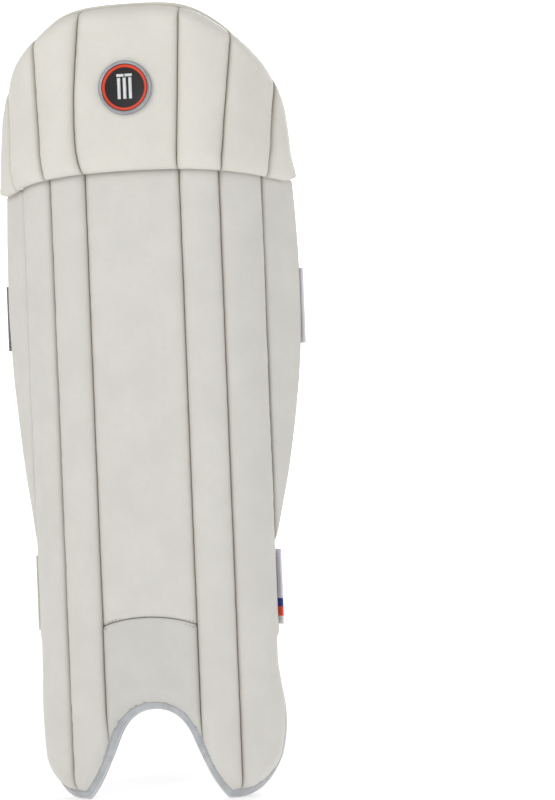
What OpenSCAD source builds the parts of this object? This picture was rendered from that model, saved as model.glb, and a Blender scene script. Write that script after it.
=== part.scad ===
// Cricket wicket-keeping leg pad, worn on the lower leg: a ribbed, padded shin with a
// knee cap that flexes at its lower seam, two side wings that fold in round the calf,
// a calf strap and an ankle strap that open at the back.
// Millimetres. +Z is up with z = 0 under the feet, x = 0 is the middle plane, the
// front of the pad faces -Y and the leg lies on the +Y side.
//
// The section is the same from the feet to the knee: a flat centre panel, a bend on
// each side and a straight wing. A point on it is given by s, the distance round the
// front from the middle plane, and by d, the depth in from the front face.

/* [Section] */
// Y of the front face of the centre panel
front_y = -49; // [-55:1:-45]
// Width of the flat centre panel
panel_w = 82; // [78:1:86]
// Outside radius of the bend beside the panel
bend_r = 75; // [72:1:78]
// Angle of the bend, where the wing starts
bend_a = 62; // [60:1:64]
// Angle of the wing, which opens out again from the bend
wing_a = 46; // [44:1:48]
// Angle of the seam between the inner and the outer rib
inner_a = 27; // [24:1:30]
// How far the seams dip below the crowned ribs
seam_dip = 3.5; // [1:0.5:5]

/* [Shin] */
// Top of the shin ribs
shin_top = 536; // [530:1:537]
// Thickness of the cover material
cover_t = 1.6; // [1:0.2:2.4]
// Depth of the padding from the front face
shin_t = 22; // [19:0.5:22]
// Thickness of the lining behind the padding
lining_t = 1.6; // [1:0.2:1.6]
// Height of the instep panel's arched top seam, at the middle and at its corners
instep_top = 160; // [150:1:170]
instep_side = 150; // [140:1:158]
// Height of the scoop between the feet
scoop_h = 78; // [70:1:84]
// Width of the silver edge binding and how high it climbs each side
binding_w = 3; // [2:0.5:4]
binding_top = 132; // [120:1:138]

/* [Knee cap] */
// Height of the whole pad, at the top of the knee cap
pad_h = 680; // [670:1:690]
// Height of the knee cap's lower edge at the middle
knee_line = 537; // [535:1:540]
// Height of the knee cap's lower corners
knee_corner = 527; // [524:1:529]
// Half the width of the knee cap
knee_half = 128; // [125:1:129]
// How far the knee cap stands in front of the shin
knee_bulge = 9; // [8.5:0.5:11]
// Depth of the knee cap's back face, from the shin's front face
knee_back = 24; // [23:0.5:24]
// Height of the seam along the bottom of the back panel
back_seam = 559; // [558:1:566]

/* [Wings] */
// Width of a wing at its widest
wing_w = 40; // [36:1:42]
// Lowest and highest points of a wing
wing_foot = 216; // [214:1:230]
wing_top = 526; // [510:1:526]
// Thickness of the wing's stiff core
wing_core_t = 5; // [4:0.5:6]
// Thickness of the side bolster on the wing
wing_pad_t = 11; // [8:0.5:12]

/* [Bolsters] */
// Width of the printed strip between the bolsters
strip_w = 55; // [50:1:60]
// Depth of the bolsters' back, from the shin's front face
bolster_back = 53.5; // [50:0.5:54]
// Bottom and top of the bolsters
bolster_foot = 165; // [158:1:172]
bolster_top = 553; // [545:1:553]
// Thickness of the mesh ribs below the bolsters
mesh_t = 9; // [6:0.5:11]

/* [Straps] */
// Width of the webbing
strap_w = 66; // [58:1:66]
// Thickness of the webbing
strap_t = 2.2; // [1.6:0.2:2.4]
// Height of the middle of the calf strap
calf_z = 421; // [410:1:430]
// How far the calf strap bows out behind the wings
calf_bow = 26; // [18:1:28]
// Height of the middle of the ankle strap
ankle_z = 177; // [175:1:179]
// How far the ankle strap bows out
ankle_bow = 9; // [6:1:12]
// Width of the ring and radius of its bars
ring_w = 29; // [27:1:30]
ring_r = 2.2; // [1.8:0.1:2.3]

/* [Badges] */
// Diameters of the badges on the knee cap's front and back, and on the strap
front_badge_d = 46; // [36:1:50]
back_badge_d = 70; // [50:1:74]
strap_badge_d = 34; // [26:1:36]
// Thickness of a badge, without its rim
badge_t = 2; // [1.5:0.1:2.5]

/* [Hidden] */

$fn = 64;
gap = 0.3;
rib_steps = 12;
panel_half = panel_w / 2;
// Radius over which the knee cap opens out beyond the wing seam
open_r = 60;
// Distances round the front: panel edge, seam between the ribs, start of the wing
s_panel = panel_half;
s_inner = s_panel + bend_r * inner_a * PI / 180;
s_wing = s_panel + bend_r * bend_a * PI / 180;
s_end = s_wing + 31;
shin_seams = [-s_wing, -s_inner, -s_panel, s_panel, s_inner, s_wing];
knee_seams = concat([-s_end], shin_seams, [s_end]);
lining_far = shin_t + gap + lining_t;
inside = lining_far + gap;
half_shin = 107;
knee_pad_foot = shin_top + 9.5;
knee_wing_foot = wing_top + 14;
flap_gap = 3.4;
tiny = 0.01;
// Slot beside the wing seam that keeps the knee cap's corners off the shin as it flexes
corner_slot = 4.8;
back_panel_t = 2.2;
strip_t = 3;
front_badge_z = 608;
back_badge_z = 606;

// Colours
cream = [0.85, 0.84, 0.8];
foam = [0.93, 0.9, 0.72];
white = [0.85, 0.85, 0.88];
grey = [0.33, 0.31, 0.35];
silver = [0.68, 0.7, 0.72];
orange = [0.93, 0.33, 0.2];
blue = [0.15, 0.25, 0.5];
black = [0.12, 0.12, 0.13];

// ---------- Section and outlines ----------

// A point of the section, s >= 0
function half_point(s, d) =
    s <= s_panel ? [s, front_y + d]
    : s <= s_wing
    ? let (a = (s - s_panel) / bend_r * 180 / PI)
        [panel_half + (bend_r - d) * sin(a), front_y + bend_r - (bend_r - d) * cos(a)]
    : let (
        turn = min((s - s_wing) / open_r * 180 / PI, bend_a - wing_a),
        a = bend_a - turn,
        u = s - s_wing - turn * PI / 180 * open_r,
        middle = half_point(s_wing, 0) + open_r * [sin(bend_a), -cos(bend_a)]
    )
    middle + (open_r + d) * [-sin(a), cos(a)] + u * [cos(a), sin(a)];
function section_point(s, d) =
    let (p = half_point(abs(s), d))
    [sign(s) * p[0], p[1]];

// How far the surface dips at s, where edges holds the seams
function dip(s, edges) =
    let (
        k = max([for (i = [0:len(edges) - 2]) s >= edges[i] ? i : 0]),
        u = 2 * (s - edges[k]) / (edges[k + 1] - edges[k]) - 1
    )
    seam_dip * pow(abs(u), 6);

// Evenly spaced stations between each pair of edges
function stations(edges) = concat(
    [for (k = [0:len(edges) - 2]) for (i = [0:rib_steps - 1])
        edges[k] + (edges[k + 1] - edges[k]) * i / rib_steps],
    [edges[len(edges) - 1]]
);

// A cubic curve, without its last point
function curve(a, b, c, e, n = 10) = [
    for (i = [0:n - 1]) let (t = i / n, r = 1 - t)
        r * r * r * a + 3 * r * r * t * b + 3 * r * t * t * c + t * t * t * e
];
function reversed(list) = [for (i = [len(list) - 1:-1:0]) list[i]];
function mirrored(list) = [for (p = reversed(list)) [-p[0], p[1]]];

// A half outline that starts at x = 0, with its mirror image ahead of it
function both(half) = concat(mirrored([for (i = [1:len(half) - 1]) half[i]]), half);

// Moves each point of a half outline in by w; the solid lies on the left of the path
function moved_in(path, w) = [
    for (i = [0:len(path) - 1])
        let (
            a = path[max(0, i - 1)],
            b = path[min(len(path) - 1, i + 1)],
            t = (b - a) / norm(b - a)
        )
        path[i] + w * [-t[1], t[0]]
];

// Half outline of the shin from the front, from the scoop out round the foot and up
foot_path = concat(
    curve([0, scoop_h], [16, scoop_h], [26, scoop_h - 10], [32, 54]),
    curve([32, 54], [37, 42], [46, 18], [62, 2]),
    curve([62, 2], [65, 0], [68, 0], [71, 0], 4),
    curve([71, 0], [92, 0], [102, 14], [106, 28]),
    curve([106, 28], [108, 38], [109.4, 50], [109.4, 62]),
    curve([109.4, 62], [109.4, 85], [103.7, 98], [103.7, 122]),
    [[103.7, binding_top]]
);
side_path = concat(
    curve([103.7, binding_top], [103.9, 150], [106, 185], [half_shin, 215]),
    [[half_shin, shin_top]]
);

module whole(half) {
    polygon(concat(half, mirrored([for (p = half) if (p[0] > tiny) p])));
}

// The foot's half outline moved in by w, and the whole shin inside its binding
function inside_foot(w) = concat(
    [[0, scoop_h + w]],
    [for (i = [1:len(foot_path) - 1]) moved_in(foot_path, w)[i]]
);
shin_path = concat(
    [for (p = inside_foot(binding_w + gap)) if (p[1] < binding_top - 2) p],
    [[103.7 - binding_w - gap, binding_top + gap]],
    [for (p = side_path) if (p[1] > binding_top + 1) p]
);

// Half outline of the knee cap from the front, from its lower corner to its top
dome_path = concat(
    curve([knee_half, knee_corner - 20], [knee_half, 545], [knee_half, 572], [knee_half - 1, 590]),
    curve([knee_half - 1, 590], [knee_half - 2, pad_h - 58], [100, pad_h - 23], [60, pad_h - 5]),
    curve([60, pad_h - 5], [40, pad_h], [20, pad_h], [0, pad_h]),
    [[0, pad_h]]
);
// Lower edge of the knee cap from the middle out
knee_low = curve([0, knee_line], [45, knee_line], [90, knee_line - 6], [knee_half + 1, knee_corner + 2]);

// Stands an outline drawn in x and z upright, so that it cuts right through in Y
module through() {
    rotate([90, 0, 0])
        translate([0, 0, -200])
            linear_extrude(height = 400)
                children();
}

// A stretch of the section between two depths, as an upright prism
module band(edges, near, far, from = 0, to = 1, dipped = true) {
    picked = [
        for (s = stations(edges)) if (s > from + tiny && s < to - tiny) s
    ];
    s_list = concat([from], picked, [to]);
    front = [for (s = s_list) section_point(s, near + dip(s, edges))];
    back = [for (s = reversed(s_list)) section_point(s, far + (dipped ? dip(s, edges) : 0))];
    linear_extrude(height = pad_h + 1)
        polygon(concat(front, back));
}

// A layer of even thickness between two depths, as an upright prism
module layer(s_list, near, far) {
    linear_extrude(height = pad_h + 1)
        polygon(concat(
            [for (s = s_list) section_point(s, near)],
            [for (s = reversed(s_list)) section_point(s, far)]
        ));
}

module half_plane(low, high) {
    translate([-200, low])
        square([400, high - low]);
}

// ---------- Shin ----------

module instep_window(grow = 0) {
    w = panel_half + grow;
    polygon(concat(
        [[-w, -10], [w, -10], [w, instep_side + grow]],
        curve([w, instep_side + grow], [w / 2, instep_top + grow], [-w / 2, instep_top + grow],
            [-w, instep_side + grow]),
        [[-w, instep_side + grow]]
    ));
}

module shin_cover() {
    color(cream)
    intersection() {
        band(shin_seams, 0, cover_t, -s_wing + gap, s_wing - gap);
        through() difference() {
            whole(concat(shin_path, [[0, shin_top]]));
            instep_window(gap);
        }
    }
}

// Padding of one rib, between two seams
module rib(from, to) {
    color(foam)
    intersection() {
        band(shin_seams, cover_t + gap, shin_t, from + gap, to - gap, false);
        through() difference() {
            whole(concat(shin_path, [[0, shin_top]]));
            if (from < 0 && to > 0) instep_window(gap);
        }
    }
}

module centre_rib() { rib(-s_panel, s_panel); }
module right_inner_rib() { rib(s_panel, s_inner); }
module left_inner_rib() { rib(-s_inner, -s_panel); }
module right_outer_rib() { rib(s_inner, s_wing); }
module left_outer_rib() { rib(-s_wing, -s_inner); }

module instep_part(near, far, dipped) {
    intersection() {
        band(shin_seams, near, far, -s_panel + gap, s_panel - gap, dipped);
        through() intersection() {
            whole(concat(shin_path, [[0, shin_top]]));
            instep_window(-gap);
        }
    }
}
module instep_cover() { color(cream) instep_part(-1, cover_t - 1, true); }
module instep_pad() { color(foam) instep_part(cover_t - 1 + gap, shin_t, false); }

module shin_lining() {
    color(grey)
    intersection() {
        layer(stations(shin_seams), shin_t + gap, lining_far);
        through() whole(concat(shin_path, [[0, shin_top]]));
    }
}

module foot_binding() {
    edges = concat([-s_wing - 5], shin_seams, [s_wing + 5]);
    color(silver)
    intersection() {
        layer(stations(edges), -0.5, inside);
        through() polygon(concat(both(foot_path), reversed(both(inside_foot(binding_w)))));
    }
}

module centre_strip() {
    w = strip_w / 2 - gap;
    color(orange)
    intersection() {
        linear_extrude(height = pad_h)
            polygon([
                [-w, front_y + inside], [w, front_y + inside],
                [w, front_y + inside + strip_t], [-w, front_y + inside + strip_t]
            ]);
        through() half_plane(bolster_foot, bolster_top);
    }
}

// A rectangle with round corners, in x and z
module rounded(x0, x1, z0, z1, r) {
    corners = [[x0 + r, z0 + r, 180], [x1 - r, z0 + r, 270], [x1 - r, z1 - r, 0], [x0 + r, z1 - r, 90]];
    polygon([
        for (c = corners) for (a = [0:15:90]) [c[0] + r * cos(c[2] + a), c[1] + r * sin(c[2] + a)]
    ]);
}

// A long cushion that fills the bend beside the strip and stands out towards the leg
module bolster() {
    in_x = strip_w / 2 + gap;
    crest_x = 68;
    far_x = 84;
    end_r = 14;
    back_y = front_y + bolster_back;
    rest_s = s_panel + bend_r * 50 * PI / 180;
    rest = section_point(rest_s, inside);
    color(white)
    intersection() {
        linear_extrude(height = pad_h)
            polygon(concat(
                [[in_x, front_y + inside]],
                [for (i = [0:12]) section_point(s_panel + (rest_s - s_panel) * i / 12, inside)],
                [for (p = curve(rest, rest + [3.5, 6], [far_x, back_y], [crest_x, back_y]))
                    if (p != rest) p],
                curve([crest_x, back_y], [50, back_y], [in_x, back_y], [in_x, front_y + inside + 10])
            ));
        through() rounded(in_x - 1, far_x + 4, bolster_foot, bolster_top, end_r);
    }
}
module right_bolster() { bolster(); }
module left_bolster() { mirror([1, 0, 0]) bolster(); }

// A spacer-mesh rib on the inside of the foot, crowned towards the leg
module mesh_pad(from, to) {
    n = 12;
    s_list = [for (i = [0:n]) from + gap + (to - from - 2 * gap) * i / n];
    color(white)
    intersection() {
        linear_extrude(height = bolster_foot - gap)
            polygon(concat(
                [for (s = s_list) section_point(s, inside)],
                [for (s = reversed(s_list))
                    let (u = 2 * (s - from) / (to - from) - 1)
                    section_point(s, inside + mesh_t * (1 - 0.75 * pow(abs(u), 4)))]
            ));
        through() whole(concat(shin_path, [[0, shin_top]]));
    }
}
module centre_mesh_pad() { mesh_pad(-s_panel, s_panel); }
module right_inner_mesh_pad() { mesh_pad(s_panel, s_inner); }
module left_inner_mesh_pad() { mesh_pad(-s_inner, -s_panel); }
module right_outer_mesh_pad() { mesh_pad(s_inner, s_wing); }
module left_outer_mesh_pad() { mesh_pad(-s_wing, -s_inner); }

// ---------- Wings ----------

// A frame at the right wing seam: x out at an angle a, y in through the thickness
module seam_frame(a) {
    p = half_point(s_wing, 0);
    translate([p[0], p[1], 0])
        rotate([0, 0, a])
            children();
}
module wing_frame() { seam_frame(wing_a) children(); }

wing_path = concat(
    [[0.5, wing_top]],
    curve([0.5, wing_foot], [14, 250], [wing_w, 345], [wing_w, 430]),
    curve([wing_w, 430], [wing_w, 470], [wing_w - 2, 500], [wing_w - 5, wing_top]),
    [[wing_w - 5, wing_top]]
);

// A layer of the wing; its inner corner is cut back so that the wing can fold in
module wing_layer(near, far) {
    slope = 0.22;
    wing_frame()
    intersection() {
        linear_extrude(height = pad_h)
            polygon([
                [gap + slope * near, near], [wing_w + 1, near],
                [wing_w + 1, far], [gap + slope * far, far]
            ]);
        through() polygon(wing_path);
    }
}
module wing_cover() { color(cream) wing_layer(0, cover_t); }
module wing_core() { color(foam) wing_layer(cover_t + gap, cover_t + gap + wing_core_t); }
module side_bolster() {
    near = cover_t + wing_core_t + 2 * gap;
    n = 12;
    x0 = 4;
    x1 = wing_w;
    color(white)
    wing_frame()
    intersection() {
        linear_extrude(height = pad_h)
            polygon(concat(
                [[x0, near], [x1, near]],
                [for (i = [0:n])
                    let (u = 1 - 2 * i / n)
                    [(x0 + x1) / 2 + u * (x1 - x0) / 2, near + wing_pad_t * (1 - 0.55 * pow(abs(u), 3))]]
            ));
        through() polygon(wing_path);
    }
}
module right_wing_cover() { wing_cover(); }
module right_wing_core() { wing_core(); }
module right_side_bolster() { side_bolster(); }
module left_wing_cover() { mirror([1, 0, 0]) wing_cover(); }
module left_wing_core() { mirror([1, 0, 0]) wing_core(); }
module left_side_bolster() { mirror([1, 0, 0]) side_bolster(); }

// Sewn end of the calf strap, on the right wing's rear edge
anchor_t = 1.5;
anchor_far = 11.5;
module strap_anchor() {
    color(white)
    wing_frame()
        translate([wing_w + gap, 1, calf_z - strap_w / 2])
            cube([anchor_t, anchor_far - 1, strap_w]);
}

// Loop patch on the left wing's rear edge
module wing_loop_patch() {
    color(grey)
    mirror([1, 0, 0])
    wing_frame()
        translate([wing_w + gap, 2, calf_z - strap_w / 2 + 4])
            cube([0.8, 8, strap_w - 8]);
}

// ---------- Knee cap ----------

knee_front = -knee_bulge;

// Area of the knee cap from the front, moved in from its edge by w, above the children
module knee_area(w) {
    edge = [for (p = moved_in(dome_path, w)) [max(p[0], 0), p[1]]];
    intersection() {
        whole(concat([[0, knee_corner - 20]], edge));
        children();
    }
}
module above(z) { half_plane(z, pad_h + 1); }

module knee_cover() {
    color(cream)
    intersection() {
        band(knee_seams, knee_front, knee_front + cover_t, -s_end, s_end);
        through() knee_area(0)
            whole(concat(knee_low, [[knee_half + 1, knee_corner + 2], [knee_half + 1, pad_h], [0, pad_h]]));
    }
}

// The padded roll along the knee cap's lower edge, which hangs in front of the shin
module knee_roll() {
    side = half_point(s_wing, 0)[0];
    color(foam)
    intersection() {
        band(knee_seams, knee_front + cover_t + gap, -flap_gap, gap - s_end, s_end - gap, false);
        through() knee_area(binding_w + gap)
            whole(concat([for (p = knee_low) p + [0, 3]], [
                [knee_half, knee_corner + 5], [knee_half, knee_wing_foot - gap],
                [side, knee_wing_foot - gap], [side, knee_pad_foot - gap], [0, knee_pad_foot - gap]
            ]));
    }
}

module corner_cut() {
    seam_frame(bend_a)
        translate([-1, -5, knee_corner])
            cube([corner_slot + 1, 40, knee_pad_foot - knee_corner + 1]);
}

module knee_pad(from, to, foot) {
    near = knee_front + cover_t + gap;
    far = knee_back - back_panel_t - gap;
    color(foam)
    intersection() {
        band(knee_seams, near, far, from + gap, to - gap, false);
        through() knee_area(binding_w + gap) above(foot);
    }
}
module knee_centre_pad() { knee_pad(-s_panel, s_panel, knee_pad_foot); }
module right_knee_inner_pad() { knee_pad(s_panel, s_inner, knee_pad_foot); }
module left_knee_inner_pad() { mirror([1, 0, 0]) right_knee_inner_pad(); }
module right_knee_outer_pad() { knee_pad(s_inner, s_wing, knee_pad_foot); }
module left_knee_outer_pad() { mirror([1, 0, 0]) right_knee_outer_pad(); }
module right_knee_wing_pad() {
    color(foam)
    difference() {
        knee_pad(s_wing, s_end, knee_wing_foot);
        corner_cut();
    }
}
module left_knee_wing_pad() { mirror([1, 0, 0]) right_knee_wing_pad(); }

module knee_back_panel() {
    corner = section_point(s_wing + corner_slot, knee_back);
    side_z = back_seam + 6;
    color(white)
    intersection() {
        layer(stations(knee_seams), knee_back - back_panel_t, knee_back);
        through() knee_area(binding_w + gap)
            whole([
                [0, back_seam], [corner[0] - 26, back_seam], [corner[0] - 3, side_z],
                [corner[0] + 3, side_z], [corner[0] + 3, knee_wing_foot],
                [knee_half, knee_wing_foot], [knee_half, pad_h], [0, pad_h]
            ]);
    }
}

module knee_piping() {
    color(cream)
    intersection() {
        layer(stations(knee_seams), knee_front + cover_t + seam_dip + gap, knee_back);
        through() difference() {
            knee_area(0) above(knee_wing_foot);
            knee_area(binding_w) above(0);
        }
    }
}

// A round rubber badge with a raised rim, lying in x and y with its face towards +Z
module badge(d) {
    color(black)
    difference() {
        cylinder(d = d, h = badge_t + 0.6);
        translate([0, 0, badge_t])
            cylinder(d = d - 5, h = 2);
    }
}
module front_badge() {
    translate([0, front_y + knee_front - 0.1, front_badge_z])
        rotate([90, 0, 0])
            badge(front_badge_d);
}
module back_badge() {
    translate([0, front_y + knee_back + 0.1, back_badge_z])
        rotate([-90, 0, 0])
            badge(back_badge_d);
}

// ---------- Calf strap ----------

// The strap is an arc in x and y. It leaves the right wing's rear edge, bows out
// behind the bolsters and lies on the left wing's rear edge.
anchor_corner = half_point(s_wing, 0)
    + (wing_w + gap + anchor_t) * [cos(wing_a), sin(wing_a)] + anchor_far * [-sin(wing_a), cos(wing_a)];
strap_x = anchor_corner[0] - 0.7;
strap_y = anchor_corner[1] + 1.1;
calf_r = (strap_x * strap_x + calf_bow * calf_bow) / (2 * calf_bow);
calf_cy = strap_y + calf_bow - calf_r;

module calf_arc(x_from, x_to, near, far, height) {
    n = 16;
    a0 = asin(x_from / calf_r);
    a1 = asin(x_to / calf_r);
    angles = [for (i = [0:n]) a0 + (a1 - a0) * i / n];
    translate([0, calf_cy, calf_z - height / 2])
        linear_extrude(height = height)
            polygon(concat(
                [for (a = angles) (calf_r + near) * [sin(a), cos(a)]],
                [for (a = reversed(angles)) (calf_r + far) * [sin(a), cos(a)]]
            ));
}
// X of the strap's hinge line, its free end, and its sewn patch's two ends
root_x = strap_x - 9;
end_x = -132;
patch_tip_x = -115;
patch_side_x = 20;
strap_badge_x = -30;
module strap_root() { color(white) calf_arc(root_x + gap, strap_x - 0.5, 0, strap_t, strap_w); }
module calf_elastic() { color(white) calf_arc(end_x, root_x, 0, strap_t, strap_w); }
module calf_patch() {
    notch_r = 30;
    side_r = strap_w * 0.55;
    color(cream)
    difference() {
        calf_arc(patch_tip_x, patch_side_x, strap_t + 0.1, strap_t + 1.5, strap_w - 1);
        translate([patch_side_x + 10, 200, calf_z])
            rotate([90, 0, 0])
                cylinder(r = side_r, h = 300);
        translate([patch_tip_x - 7, 200, calf_z - strap_w / 2])
            rotate([90, 0, 0])
                cylinder(r = notch_r, h = 300);
    }
}
module strap_badge() {
    a = asin(strap_badge_x / calf_r);
    translate([0, calf_cy, calf_z + 4])
        rotate([0, 0, -a])
            translate([0, calf_r + strap_t + 1.65, 0])
                rotate([-90, 0, 0])
                    badge(strap_badge_d);
}
module calf_hook_patch() { color(grey) calf_arc(end_x + 2, end_x + 10, -0.9, -0.1, strap_w - 10); }

// ---------- Ankle strap ----------

ring_y = front_y + 61;
ring_in = 71;
ring_out = ring_in + ring_w - 2 * ring_r - 2;
fold_r = ring_r + 0.4;
patch_t = 0.8;

// A point over the right-hand edge face of the shin: depth in along the face from its
// front corner, and distance off it
function edge_point(depth, off) =
    half_point(s_wing, 0) + depth * [-sin(bend_a), cos(bend_a)] + off * [cos(bend_a), sin(bend_a)];

// A ribbon along a path in x and y, with its thickness on the path's left; a negative
// thickness puts it on the right
module ribbon(path, t) {
    shifted = [for (i = [0:len(path) - 1])
        let (
            a = path[max(0, i - 1)],
            b = path[min(len(path) - 1, i + 1)],
            v = (b - a) / norm(b - a)
        )
        path[i] + t * [-v[1], v[0]]
    ];
    translate([0, 0, ankle_z - strap_w / 2])
        linear_extrude(height = strap_w)
            polygon(concat(path, reversed(shifted)));
}

// Ribbed elastic, from the left-hand edge face over the corner of the bolster
module ankle_elastic() {
    start = edge_point(-0.5, 0.5);
    bend = edge_point(17, 0.5);
    turn = [86, front_y + 57.2];
    color(cream)
    mirror([1, 0, 0])
    ribbon(concat(
        [start],
        curve(bend, bend + [-3, 1.6], turn + [4, -1], turn, 6),
        [turn, turn + [-10, 1]]
    ), -strap_t);
}

// Webbing sewn over the end of the elastic, bowed across and folded round the ring
module ankle_webbing() {
    start = [-86, front_y + 57.2 + strap_t + 0.5];
    top = [ring_in, ring_y + fold_r];
    color(white)
    ribbon(concat(
        [start],
        curve(start + [10, 1], start + [50, ankle_bow * 1.5], top + [-50, ankle_bow * 1.1], top),
        [for (a = [90:-20:-90]) [ring_in, ring_y] + fold_r * [cos(a), sin(a)]],
        [[ring_in - 20, ring_y - fold_r - 0.2]]
    ), strap_t);
}

module ankle_ring() {
    h = strap_w / 2 + 4;
    color(white)
    union() {
        for (x = [ring_in, ring_out])
            translate([x, ring_y, ankle_z - h])
                cylinder(r = ring_r, h = 2 * h);
        for (z = [ankle_z - h, ankle_z + h])
            translate([ring_in, ring_y, z])
                rotate([0, 90, 0])
                    cylinder(r = ring_r, h = ring_out - ring_in);
        for (x = [ring_in, ring_out]) for (z = [ankle_z - h, ankle_z + h])
            translate([x, ring_y, z])
                sphere(r = ring_r);
    }
}

// Webbing tab, folded round the ring's outer bar and laid on the right-hand edge face
module ankle_tab() {
    bar = [ring_out, ring_y];
    off = 0.2 + 2 * patch_t + 0.3 + strap_t;
    color(white)
    ribbon(concat(
        [for (a = [90:20:270]) bar + fold_r * [cos(a), sin(a)]],
        curve(bar + [1, -fold_r], bar + [5, -fold_r], edge_point(11, off), edge_point(6, off)),
        [edge_point(6, off), edge_point(-1, off)]
    ), -strap_t);
}

// A hook or loop patch on the right-hand edge face, so far off it
module edge_patch(off, height) {
    color(grey)
    seam_frame(bend_a)
        translate([off, 3, ankle_z - height / 2])
            cube([patch_t - 0.1, 10, height]);
}
module edge_loop_patch() { edge_patch(0.1, strap_w - 4); }
module tab_hook_patch() { edge_patch(0.2 + patch_t, strap_w - 8); }

shin_cover();
centre_rib();
right_inner_rib();
left_inner_rib();
right_outer_rib();
left_outer_rib();
instep_cover();
instep_pad();
shin_lining();
centre_strip();
right_bolster();
left_bolster();
centre_mesh_pad();
right_inner_mesh_pad();
left_inner_mesh_pad();
right_outer_mesh_pad();
left_outer_mesh_pad();
foot_binding();
edge_loop_patch();
right_wing_cover();
right_wing_core();
right_side_bolster();
strap_anchor();
left_wing_cover();
left_wing_core();
left_side_bolster();
wing_loop_patch();
knee_cover();
knee_roll();
knee_centre_pad();
right_knee_inner_pad();
left_knee_inner_pad();
right_knee_outer_pad();
left_knee_outer_pad();
right_knee_wing_pad();
left_knee_wing_pad();
knee_back_panel();
knee_piping();
front_badge();
back_badge();
strap_root();
calf_elastic();
calf_patch();
strap_badge();
calf_hook_patch();
ankle_elastic();
ankle_webbing();
ankle_ring();
ankle_tab();
tab_hook_patch();
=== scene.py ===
"""Looks of a cricket wicket-keeping leg pad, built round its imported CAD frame."""
import math

import bmesh
import bpy
import numpy as np
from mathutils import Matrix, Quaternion, Vector, noise
from mathutils.geometry import delaunay_2d_cdt


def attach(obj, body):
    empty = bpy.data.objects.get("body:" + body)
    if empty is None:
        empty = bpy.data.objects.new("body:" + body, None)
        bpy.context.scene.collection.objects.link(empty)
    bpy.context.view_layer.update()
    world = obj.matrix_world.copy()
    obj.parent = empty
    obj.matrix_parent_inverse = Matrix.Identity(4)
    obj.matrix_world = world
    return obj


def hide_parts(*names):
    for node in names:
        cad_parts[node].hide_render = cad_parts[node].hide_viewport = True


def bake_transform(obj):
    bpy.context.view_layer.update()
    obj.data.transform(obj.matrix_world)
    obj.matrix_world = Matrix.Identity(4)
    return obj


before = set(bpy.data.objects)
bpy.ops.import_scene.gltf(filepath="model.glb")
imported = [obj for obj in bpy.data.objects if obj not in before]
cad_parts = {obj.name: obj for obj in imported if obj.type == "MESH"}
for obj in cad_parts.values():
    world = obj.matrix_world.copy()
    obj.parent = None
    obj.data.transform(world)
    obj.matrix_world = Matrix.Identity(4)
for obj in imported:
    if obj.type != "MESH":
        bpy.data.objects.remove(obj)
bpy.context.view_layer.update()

# ---------- The pad's section, in millimetres, as the CAD has it ----------
MM = 0.001
FRONT_Y = -49.0
PANEL = 41.0
BEND_R = 75.0
BEND = math.radians(62)
CB, SB = math.cos(BEND), math.sin(BEND)
WING = math.radians(46)
CW, SW = math.cos(WING), math.sin(WING)
OPEN_R = 60.0
S_INNER, S_WING = 76.34, 122.16
LINING = 24.2
FAR_OFF = 99.0  # the distance from an edge that a piece does not have
SIDES = (("right", 1), ("left", -1))


def on_section(s, z, d):
    """Points at distance s round the front, height z and depth d behind the front face."""
    s, z, d = (np.asarray(v, float) for v in (s, z, d))
    far = np.abs(s)
    a = np.clip(far - PANEL, 0, S_WING - PANEL) / BEND_R
    past = np.clip(far - S_WING, 0, None)
    turn = np.clip(past / OPEN_R, 0, BEND - WING)
    u = past - turn * OPEN_R
    flat = far <= PANEL
    x = PANEL + (BEND_R - d) * np.sin(a)
    y = FRONT_Y + BEND_R - (BEND_R - d) * np.cos(a)
    x = x + (OPEN_R + d) * (SB - np.sin(BEND - turn)) + u * CW
    y = y + (OPEN_R + d) * (np.cos(BEND - turn) - CB) + u * SW
    x, y = np.where(flat, far, x), np.where(flat, FRONT_Y + d, y)
    return np.stack([np.where(s < 0, -x, x), y, z + 0 * x], 1) * MM


def spot(s, d=0.0):
    """One point of the section, in metres."""
    return on_section([s], [0.0], [d])[0]


def arc_length(s, d):
    """Distance round the section at depth d, so that a weave keeps its size in the bend."""
    far = np.abs(s)
    a = np.clip(far - PANEL, 0, S_WING - PANEL) / BEND_R
    return np.sign(s) * (np.minimum(far, PANEL) + a * (BEND_R - d) + np.clip(far - S_WING, 0, None))


ROUND = np.linspace(0, 200, 2001)


def s_at(x, d=0.0):
    """Distance round the front of a point drawn at x in the front view."""
    return float(np.interp(x * MM, on_section(ROUND, 0 * ROUND, d + 0 * ROUND)[:, 0], ROUND))


def curve(*p, n=14):
    """Points along joined cubic curves, each through two handles, with n points to a curve."""
    pts = []
    count = n if isinstance(n, tuple) else (n,) * (len(p) // 3)
    for k, m in enumerate(count):
        a, b, c, e = p[3 * k:3 * k + 4]
        for i in range(m):
            t = i / m
            r = 1 - t
            pts.append(tuple(r ** 3 * a[j] + 3 * r * r * t * b[j] + 3 * r * t * t * c[j] + t ** 3 * e[j]
                             for j in (0, 1)))
    return pts + [tuple(p[-1])]


def mirror(line):
    """The mirror image of a line, walked the other way."""
    return [(-s, z) for s, z in reversed(line)]


def resample(line, step, closed=False):
    """Evenly spaced points along a line of points, with both ends kept."""
    pts = np.array(line + [line[0]] if closed else line, float)
    seg = np.linalg.norm(np.diff(pts, axis=0), axis=1)
    t = np.concatenate([[0], np.cumsum(seg)])
    n = max(1, int(round(t[-1] / step)))
    at = np.linspace(0, t[-1], n + 1)
    out = np.stack([np.interp(at, t, pts[:, k]) for k in range(pts.shape[1])], 1)
    return out[:-1] if closed else out


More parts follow.
